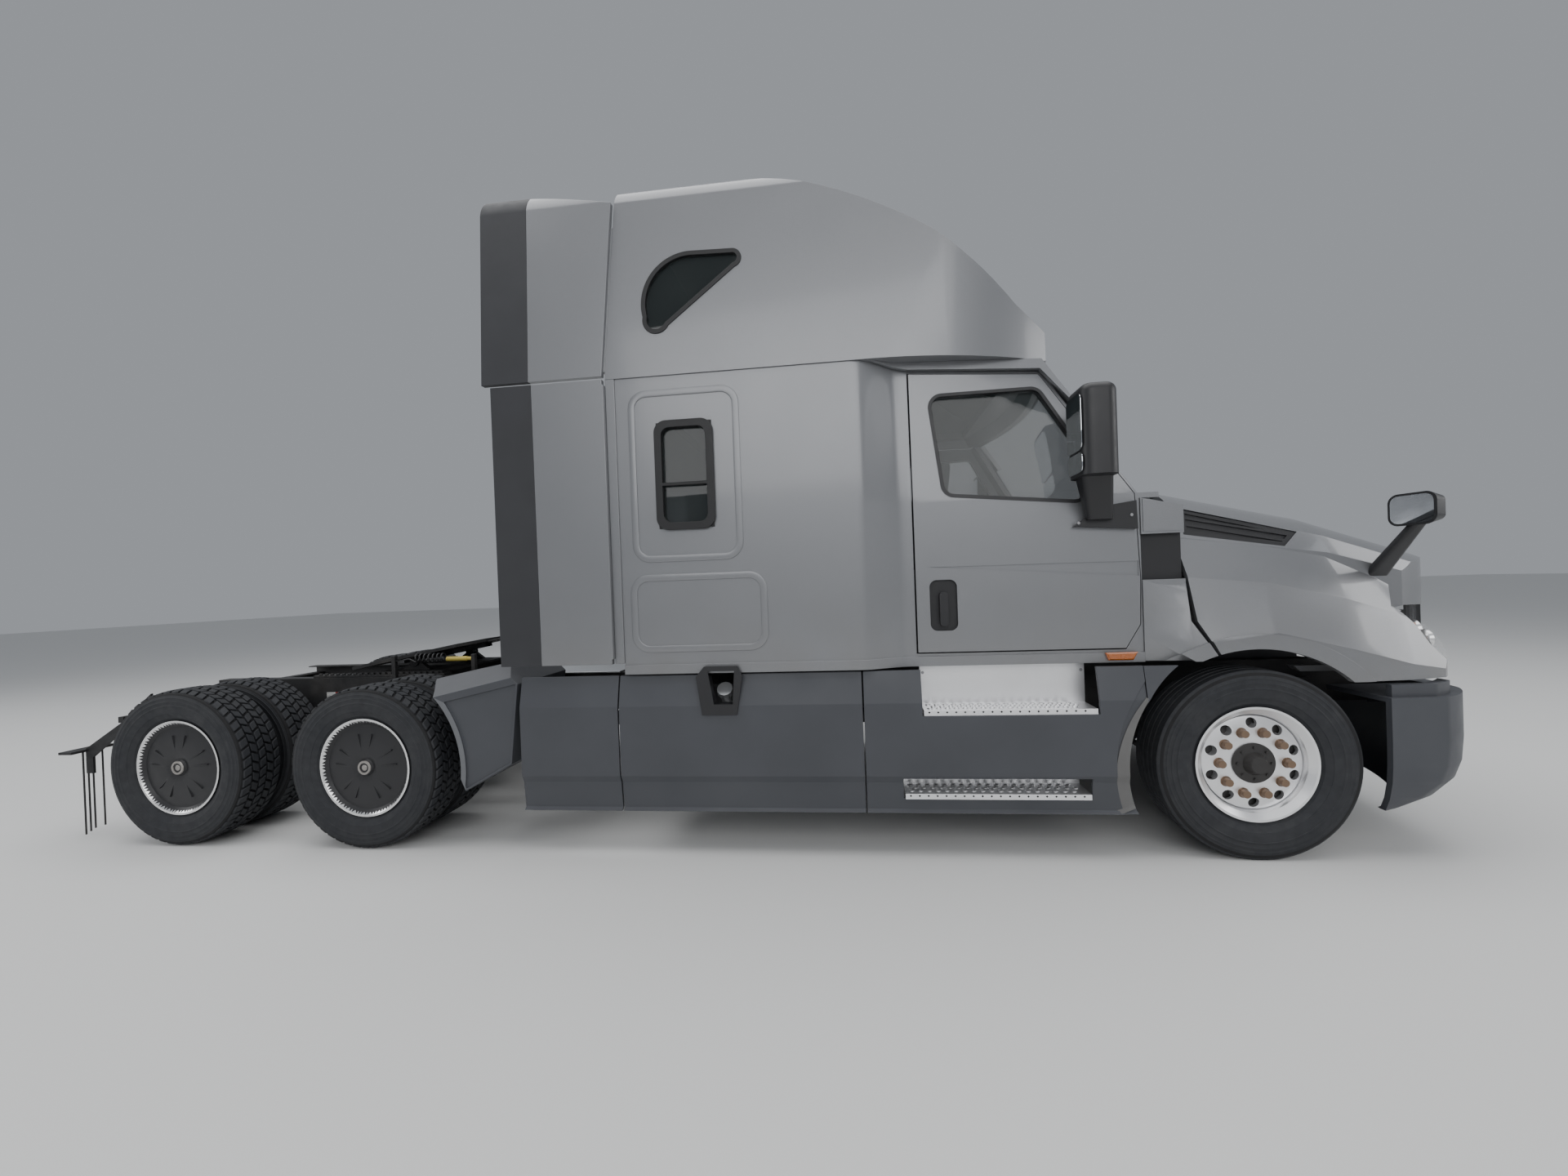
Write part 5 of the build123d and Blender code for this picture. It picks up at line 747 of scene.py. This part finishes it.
def pressedFrame(bm, sign, outline):
    ahead, high, length, rise = outline
    others = set(bm.faces)
    made = bmesh.ops.create_grid(bm, x_segments=1, y_segments=1, size=0.5)["verts"]
    bmesh.ops.scale(bm, verts=made, vec=(length, rise, 1))
    roundOff(bm, made, pressedBands["corner"], 8, "VERTICES")
    middle = [face for face in bm.faces if face not in others]
    ring = bmesh.ops.inset_region(
        bm, faces=middle, thickness=pressedBands["band"], use_boundary=True, use_even_offset=True,
    )["faces"]
    bmesh.ops.delete(bm, geom=middle, context="FACES_ONLY")
    raised = bmesh.ops.extrude_face_region(bm, geom=ring)["geom"]
    top = [item for item in raised if isinstance(item, bmesh.types.BMVert)]
    bmesh.ops.translate(bm, verts=top, vec=(0, 0, pressedBands["proud"]))
    rims = [
        edge for edge in bm.edges
        if set(edge.verts) <= set(top) and edge.calc_face_angle(0) > math.radians(pressedBands["rimAngle"])
    ]
    roundOff(bm, rims, pressedBands["round"], 3)
    verts = list({vert for face in bm.faces if face not in others for vert in face.verts})
    turned = Matrix.Rotation(math.radians(-sign * 90), 4, "X")
    place = Matrix.Translation((steerX + ahead, sign * pressedBands["half"], high))
    bmesh.ops.transform(bm, matrix=place @ turned, verts=verts)


def makePressedBands():
    for sideName, sign in sides.items():
        bm = bmesh.new()
        for outline in pressedBands["frames"]:
            pressedFrame(bm, sign, outline)
        bmesh.ops.recalc_face_normals(bm, faces=bm.faces)
        finishMesh(
            bm, f"sleeper-bands-{sideName}", "chassis", ["body_paint"], pressedBands["crease"],
        )


makePressedBands()
print("sleeper bands pressed")


# Mirror glasses: flat panes with rounded corners, facing rearwards
mirrorPanes = {
    "door": (   # ahead of the axle, half width, height, then the pane's width, height and corner
        (-0.9055, 1.290, 2.300, 0.205, 0.285, 0.035), (-0.9055, 1.290, 2.095, 0.205, 0.100, 0.030),
    ),
    "hood": ((0.7590, 1.150, 1.800, 0.190, 0.142, 0.038),),
    "turn": {"door": 0, "hood": 15},   # degrees
    "thick": 0.003,
}


def mirrorPane(bm, sign, pane, turn):
    ahead, middle, high, width, height, corner = pane
    others = set(bm.verts)
    made = bmesh.ops.create_cube(bm, size=1.0)["verts"]
    bmesh.ops.scale(bm, verts=made, vec=(mirrorPanes["thick"], width, height))
    edges = {edge for vert in made for edge in vert.link_edges}
    across = [edge for edge in edges if abs(edge.verts[0].co.x - edge.verts[1].co.x) > mirrorPanes["thick"] / 2]
    roundOff(bm, across, corner, 6)
    place = Matrix.Translation((steerX + ahead, sign * middle, high))
    turned = Matrix.Rotation(math.radians(-sign * turn), 4, "Z")
    bmesh.ops.transform(bm, matrix=place @ turned, verts=[vert for vert in bm.verts if vert not in others])


def makeMirrorGlass():
    for sideName, sign in sides.items():
        for mirror, body in (("door", f"door_{sideName}"), ("hood", "hood")):
            bm = bmesh.new()
            for pane in mirrorPanes[mirror]:
                mirrorPane(bm, sign, pane, mirrorPanes["turn"][mirror])
            bmesh.ops.recalc_face_normals(bm, faces=bm.faces)
            finishMesh(bm, f"{mirror}-mirror-glass-{sideName}", body, ["mirrorGlass"])


makeMirrorGlass()
print("mirrors glazed")


# Small fasteners, as (ahead of the steering axle, half width, height)
fasteners = {
    "mirrorFoot": ((-0.850, 1.1538, 1.806), (-0.740, 1.1538, 1.868), (-0.580, 1.1538, 1.838)),
    "kickPlate": ((-1.690, 1.0442, 1.000), (-0.826, 1.0442, 1.000)),
    "head": (0.009, 0.005, 12),   # radius, height, corners
}


def fastenerSet(name, places, sign, body):
    bm = bmesh.new()
    for ahead, half, high in places:
        boltHead(bm, (steerX + ahead, sign * half, high), sign, *fasteners["head"])
    finishMesh(bm, name, body, ["boltSteel"])


def makeFasteners():
    for sideName, sign in sides.items():
        fastenerSet(f"mirror-bolts-{sideName}", fasteners["mirrorFoot"], sign, f"door_{sideName}")
        fastenerSet(f"plate-bolts-{sideName}", fasteners["kickPlate"], sign, "chassis")


makeFasteners()
print("fasteners set")


# Light strip that lines the skirts' front arch, bent with the skirt's section
archStrip = {
    "inner": 0.6625,   # radius of its edge towards the tyre
    "width": 0.060,
    "taper": (1.55, 0.30),   # share of the width at the foot and at the head
    "thick": 0.0045,
    "start": -19.0,   # degrees above the axle's height, behind it
    "end": 33.5,
    "steps": 48,
    "section": (   # the skirt's outer face as (height, half width)
        (0.255, 1.219), (0.273, 1.203), (0.425, 1.217), (0.462, 1.235), (0.862, 1.235), (1.036, 1.193),
    ),
    "sink": 0.0066,   # how far the strip's back lies inside that face
}


def skirtFace(high):   # half width of the skirt's outer face at a height
    section = archStrip["section"]
    for (lowZ, lowY), (highZ, highY) in zip(section, section[1:]):
        if high <= highZ:
            return lowY + (highY - lowY) * max(0.0, high - lowZ) / (highZ - lowZ)
    return section[-1][1]


def makeArchStrips():
    centre = Vector((steerX, 0, wheelZ))
    inner, width = archStrip["inner"], archStrip["width"]
    back = -archStrip["sink"]
    face = back + archStrip["thick"]
    foot, head = archStrip["taper"]
    sweep = archStrip["end"] - archStrip["start"]
    for sideName, sign in sides.items():
        bm = bmesh.new()
        corners = ((back, 0), (back, width), (face, width), (face, 0))
        verts = [bm.verts.new((steerX - inner - reach, sign * out, wheelZ)) for out, reach in corners]
        edges = [bm.edges.new((first, second)) for first, second in zip(verts, verts[1:] + verts[:1])]
        end = bm.faces.new(verts)
        start = Matrix.Rotation(math.radians(archStrip["start"]), 3, "Y")
        bmesh.ops.rotate(bm, verts=verts, cent=centre, matrix=start)
        bmesh.ops.spin(
            bm, geom=verts + edges + [end], cent=centre, axis=(0, 1, 0), angle=math.radians(sweep),
            steps=archStrip["steps"],
        )
        for vert in bm.verts:
            away = Vector((vert.co.x - steerX, 0, vert.co.z - wheelZ))
            share = (math.degrees(math.atan2(away.z, -away.x)) - archStrip["start"]) / sweep
            reach = inner + (away.length - inner) * (foot + (head - foot) * share)
            out = vert.co.y
            vert.co = centre + away.normalized() * reach
            vert.co.y = out + sign * skirtFace(vert.co.z)
        bmesh.ops.recalc_face_normals(bm, faces=bm.faces)
        finishMesh(bm, f"arch-strip-{sideName}", "chassis", ["lightStrip"])


# Corner that carries each skirt on over the arch, up to the cowl
archCorner = {"radius": 0.661, "back": -0.561, "top": 1.034, "thick": 0.020, "steps": 10}


def makeArchCorners():
    for sideName, sign in sides.items():
        bm = bmesh.new()
        radius = archCorner["radius"]
        low = math.acos(-archCorner["back"] / radius)
        high = math.asin((archCorner["top"] - wheelZ) / radius)
        start = bm.verts.new((steerX - radius * math.cos(low), 0, wheelZ + radius * math.sin(low)))
        bmesh.ops.spin(
            bm, geom=[start], cent=(steerX, 0, wheelZ), axis=(0, 1, 0), angle=high - low,
            steps=archCorner["steps"],
        )
        arc = sorted(bm.verts, key=lambda vert: vert.co.z)
        corner = bm.verts.new((steerX + archCorner["back"], 0, archCorner["top"]))
        face = bm.faces.new(arc + [corner])
        raised = bmesh.ops.extrude_face_region(bm, geom=[face])["geom"]
        inner = [item for item in raised if isinstance(item, bmesh.types.BMVert)]
        for vert in bm.verts:
            vert.co.y = sign * (skirtFace(vert.co.z) - (archCorner["thick"] if vert in inner else 0))
        bmesh.ops.recalc_face_normals(bm, faces=bm.faces)
        finishMesh(bm, f"arch-corner-{sideName}", "chassis", ["slate_plastic"])


makeArchStrips()
makeArchCorners()
print("arch strips laid")


# Headlamp insides: bright bowls and an amber reflector behind each clear lens
lampInside = {
    "bowls": (   # ahead of the axle, half width, height, radius
        (1.035, 0.800, 1.150, 0.062), (1.010, 0.905, 1.110, 0.055),
    ),
    "depth": 0.7,   # of a bowl, as a share of its radius
    "lip": 0.001,   # how far it reaches past its middle
    "wall": 0.002,
    "amber": ((0.868, 0.985, 1.120), (0.890, 1.000, 1.210)),   # two corners of its plate
    "amberEdge": 0.004,
}


def sidePlate(bm, sign, corners, rounding, material):   # corners are (ahead of the axle, half width, height)
    (back, near, low), (front, far, high) = corners
    right, left = sorted((sign * near, sign * far))
    plate(bm, (steerX + back, right, low), (steerX + front, left, high), rounding, material)


def makeLampInsides():
    for sideName, sign in sides.items():
        bm = bmesh.new()
        for ahead, half, high, radius in lampInside["bowls"]:
            made = bmesh.ops.create_uvsphere(bm, u_segments=24, v_segments=12, radius=radius)["verts"]
            bmesh.ops.rotate(bm, verts=made, cent=(0, 0, 0), matrix=Matrix.Rotation(math.radians(90), 3, "Y"))
            front = [vert for vert in made if vert.co.x > lampInside["lip"]]
            back = [vert for vert in made if vert not in front]
            bmesh.ops.delete(bm, geom=front, context="VERTS")
            bmesh.ops.scale(bm, verts=back, vec=(lampInside["depth"], 1, 1))
            bmesh.ops.translate(bm, verts=back, vec=(steerX + ahead, sign * half, high))
        bmesh.ops.solidify(bm, geom=bm.faces[:], thickness=lampInside["wall"])
        sidePlate(bm, sign, lampInside["amber"], lampInside["amberEdge"], 1)
        finishMesh(bm, f"lamp-inside-{sideName}", "hood", ["rimBright", "amber_lens"])


# Reflector strip on the frame between the drive wheels, red in front above and white elsewhere
frameReflector = {
    "ahead": (-6.078, -6.005, -5.932),   # of the steering axle: back, split, front
    "high": (0.762, 0.802, 0.842),   # foot, split, top
    "half": (0.4325, 0.4355),
    "edge": 0.001,
}


def makeReflectors():
    back, middle, front = frameReflector["ahead"]
    low, split, high = frameReflector["high"]
    near, far = frameReflector["half"]
    fields = (
        ((back, near, split), (middle, far, high), 1),
        ((middle, near, split), (front, far, high), 0),
        ((back, near, low), (front, far, split), 1),
    )
    for sideName, sign in sides.items():
        bm = bmesh.new()
        for start, end, material in fields:
            sidePlate(bm, sign, (start, end), frameReflector["edge"], material)
        finishMesh(bm, f"frame-reflector-{sideName}", "chassis", ["red_lens", "whiteLens"])


makeReflectors()
makeLampInsides()
print("lamps and reflectors placed")


# Wipers: an arm and a blade on each half of the windscreen, found on the glass by rays from ahead
wipers = {
    "pivots": (-0.06, 0.66),
    "pivotHigh": 1.985,
    "reach": 0.60,
    "rise": 0.035,
    "bladeLow": 0.020,
    "bladeThick": 0.0055,
    "armLow": -0.03,
    "armRise": 0.080,
    "armShare": 0.7,   # how far the arm goes along the blade
    "armThick": 0.0065,
    "points": 7,
    "rayFrom": 1.0,   # ahead of the steering axle
    "off": 0.012,   # ahead of the glass
    "armOff": 0.024,
}


def screenPoint(tree, side, high, off):
    hit = tree.ray_cast(Vector((steerX + wipers["rayFrom"], side, high)), Vector((-1, 0, 0)))[0]
    return hit + Vector((off, 0, 0)) if hit else None


def makeWipers():
    bm = bmesh.new()
    for name in ("cab_glass", "cab_front"):
        bm.from_mesh(nodes[name].data)
    tree = BVHTree.FromBMesh(bm)
    bm.free()
    piece, curve = newCurve("wipers", 1.0, 2, "black_plastic")
    curve.use_fill_caps = True
    for pivot in wipers["pivots"]:
        blade, arm = [], []
        for step in range(wipers["points"]):
            share = step / (wipers["points"] - 1)
            side = pivot - wipers["reach"] * share
            high = wipers["pivotHigh"] + wipers["bladeLow"] + wipers["rise"] * share
            blade.append(screenPoint(tree, side, high, wipers["off"]))
            if share <= wipers["armShare"]:
                high = wipers["pivotHigh"] + wipers["armLow"] + wipers["armRise"] * share
                arm.append(screenPoint(tree, side, high, wipers["armOff"]))
        if all(blade) and all(arm):
            addSpline(curve, blade, wipers["bladeThick"])
            addSpline(curve, arm, wipers["armThick"])
    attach(piece, bodyOf["cab_front"])
    print("wiper runs:", len(curve.splines))


makeWipers()


# Seats and bunk: crowned cushions on plain pedestals
cabin = {
    "floor": 1.155,
    "seatX": -1.290,
    "seatY": 0.560,
    "cushion": (0.520, 0.500, 0.130),
    "cushionRise": 0.395,   # of its middle above the floor
    "cushionSeams": (-0.35, 0.35),
    "back": (0.700, 0.480, 0.110),
    "backBehind": 0.250,
    "backRise": 0.785,
    "backSeams": (-0.55, -0.1, 0.5),
    "backLean": math.radians(99.0),
    "seatFill": 0.8,
    "pedestal": (0.420, 0.400, 0.325),
    "pedestalEdge": 0.02,
    "bunkX": -3.000,
    "bunkBox": (0.780, 2.310, 0.420),
    "bunkEdge": 0.015,
    "mattress": (0.760, 2.270, 0.158),
    "mattressRise": 0.500,
    "mattressFill": 0.7,
    "offFloor": 0.001,
    "crown": 0.14,
    "swell": 0.10,
    "seamDepth": 0.05,
    "seamWidth": 0.05,
    "blank": 0.94,   # size of the cube that a pad is drawn from
    "trim": 0.98,
    "cuts": 11,
    "crease": 60,   # degrees
}


def cushionMesh(bm, size, seams):   # a crowned pad about its own centre, with channels across its length
    bmesh.ops.create_cube(bm, size=cabin["blank"])
    bmesh.ops.subdivide_edges(bm, edges=bm.edges, cuts=cabin["cuts"], use_grid_fill=True)
    for vert in bm.verts:
        x, y, z = (2 * value / cabin["blank"] for value in vert.co)
        pull = 1 - cabin["crown"] * (abs(x) ** 4 + abs(y) ** 4 + abs(z) ** 4) / 3
        swell = 1 + cabin["swell"] * (1 - x * x) * (1 - y * y)
        creases = sum(math.exp(-((x - seam) / cabin["seamWidth"]) ** 2) for seam in seams)
        rise = swell * pull - cabin["seamDepth"] * creases * abs(z)
        vert.co = Vector((x * pull * size[0], y * pull * size[1], z * rise * size[2])) / 2 * cabin["trim"]


def padPiece(name, size, seams, place, lean):
    bm = bmesh.new()
    cushionMesh(bm, size, seams)
    bmesh.ops.transform(bm, matrix=Matrix.Translation(place) @ Matrix.Rotation(lean, 4, "Y"), verts=bm.verts)
    piece = finishMesh(bm, name, "chassis", ["seat_fabric"], cabin["crease"])
    smooth = piece.modifiers.new("softForm", "SUBSURF")
    smooth.levels = 1
    smooth.render_levels = 1
    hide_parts("seats_and_bunk")


def standingBox(bm, x, y, box, rounding):
    length, across, tall = box
    low = (x - length / 2, y - across / 2, cabin["floor"] + cabin["offFloor"])
    plate(bm, low, (x + length / 2, y + across / 2, cabin["floor"] + tall), rounding)


def makeCabin():
    floor = cabin["floor"]
    seatX, bunkX = steerX + cabin["seatX"], steerX + cabin["bunkX"]
    bm = bmesh.new()
    for sideName, sign in sides.items():
        y = sign * cabin["seatY"]
        place = Vector((seatX, y, floor + cabin["cushionRise"]))
        padPiece(
            f"seat-cushion-{sideName}", cabin["cushion"], cabin["cushionSeams"], place, 0,
        )
        place = Vector((seatX - cabin["backBehind"], y, floor + cabin["backRise"]))
        padPiece(
            f"seat-back-{sideName}", cabin["back"], cabin["backSeams"], place, cabin["backLean"],
        )
        standingBox(bm, seatX, y, cabin["pedestal"], cabin["pedestalEdge"])
    standingBox(bm, bunkX, 0, cabin["bunkBox"], cabin["bunkEdge"])
    base = finishMesh(bm, "seat-bases", "chassis", ["black_plastic"])
    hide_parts("seats_and_bunk")
    place = Vector((bunkX, 0, floor + cabin["mattressRise"]))
    padPiece("bunk-mattress", cabin["mattress"], (), place, 0)


makeCabin()
print("cabin furnished")


# Floor and light
studio = {
    "floor": 60.0,
    "floorColour": (0.72, 0.72, 0.71, 1),
    "floorRoughness": 0.85,
    "lights": {   # place, target, size, power
        "topSoft": ((0, -1, 11), (0, 0, 0), (16, 10), 1000.0),
        "sideSoft": ((2, -13, 7), (0, 0, 1.5), (14, 6), 640.0),
        "frontFill": ((14, -3, 5), (2, 0, 1.5), (6, 5), 330.0),
        "rearFill": ((-14, -3, 6), (-2, 0, 1.5), (6, 5), 330.0),
    },
    "skyColour": (0.78, 0.82, 0.88, 1),
    "sky": 0.40,
}


def makeFloor():
    bm = bmesh.new()
    bmesh.ops.create_grid(bm, x_segments=1, y_segments=1, size=studio["floor"])
    mesh = bpy.data.meshes.new("floor")
    bm.to_mesh(mesh)
    bm.free()
    floor = newObject("floor", mesh)
    material, _, shader = newMaterial("paleFloor")
    setInputs(shader, {"Base Color": studio["floorColour"], "Roughness": studio["floorRoughness"]})
    mesh.materials.append(material)


def areaLight(name, place, target, size, power):
    data = bpy.data.lights.new(name, "AREA")
    data.shape = "RECTANGLE"
    data.size, data.size_y = size
    data.energy = power
    light = newObject(name, data)
    light.location = place
    light.rotation_euler = (Vector(target) - Vector(place)).to_track_quat("-Z", "Y").to_euler()


makeFloor()
for name, light in studio["lights"].items():
    areaLight(name, *light)
world = bpy.data.worlds.new("studioWorld")
world.use_nodes = True
setInputs(world.node_tree.nodes["Background"], {"Color": studio["skyColour"], "Strength": studio["sky"]})
bpy.context.scene.world = world
print("studio lit")


# The coiled air line: tail from the rear post, turns, and its end in the yellow grip
airLine = {
    "side": -0.5,
    "tail": ((-5.435, 1.072), (-5.39, 1.072), (-5.335, 1.092)),   # ahead of the axle, height
    "grip": ((-5.025, 1.082), (-4.95, 1.082), (-4.88, 1.082), (-4.838, 1.082)),
    "thick": 0.012,
    "turns": 7,
    "turnRadius": 0.031,
    "pointsPerTurn": 14,
    "coil": (-5.282, -5.045),
    "coilHigh": 1.092,
    "unevenness": (0.04, 0.37),   # share of the radius, and its pace in radians a point
    "length": 1.82,
}


def makeAirLine():
    side = airLine["side"]
    path = [Vector((steerX + ahead, side, high)) for ahead, high in airLine["tail"]]
    start, end = airLine["coil"]
    share, pace = airLine["unevenness"]
    count = airLine["turns"] * airLine["pointsPerTurn"]
    for step in range(count + 1):
        angle = 2 * math.pi * step / airLine["pointsPerTurn"]
        radius = airLine["turnRadius"] * (1 + share * math.sin(step * pace))
        x = steerX + start + (end - start) * step / count
        path.append(Vector((x, side + radius * math.sin(angle), airLine["coilHigh"] - radius * math.cos(angle))))
    path += [Vector((steerX + ahead, side, high)) for ahead, high in airLine["grip"]]
    piece, curve = newCurve("airLine", airLine["thick"] / 2, 3, "cable_black")
    addSpline(curve, path)
    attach(piece, "chassis")
    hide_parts("cable_tail", "cable_coil")


makeAirLine()
print("air line wound")
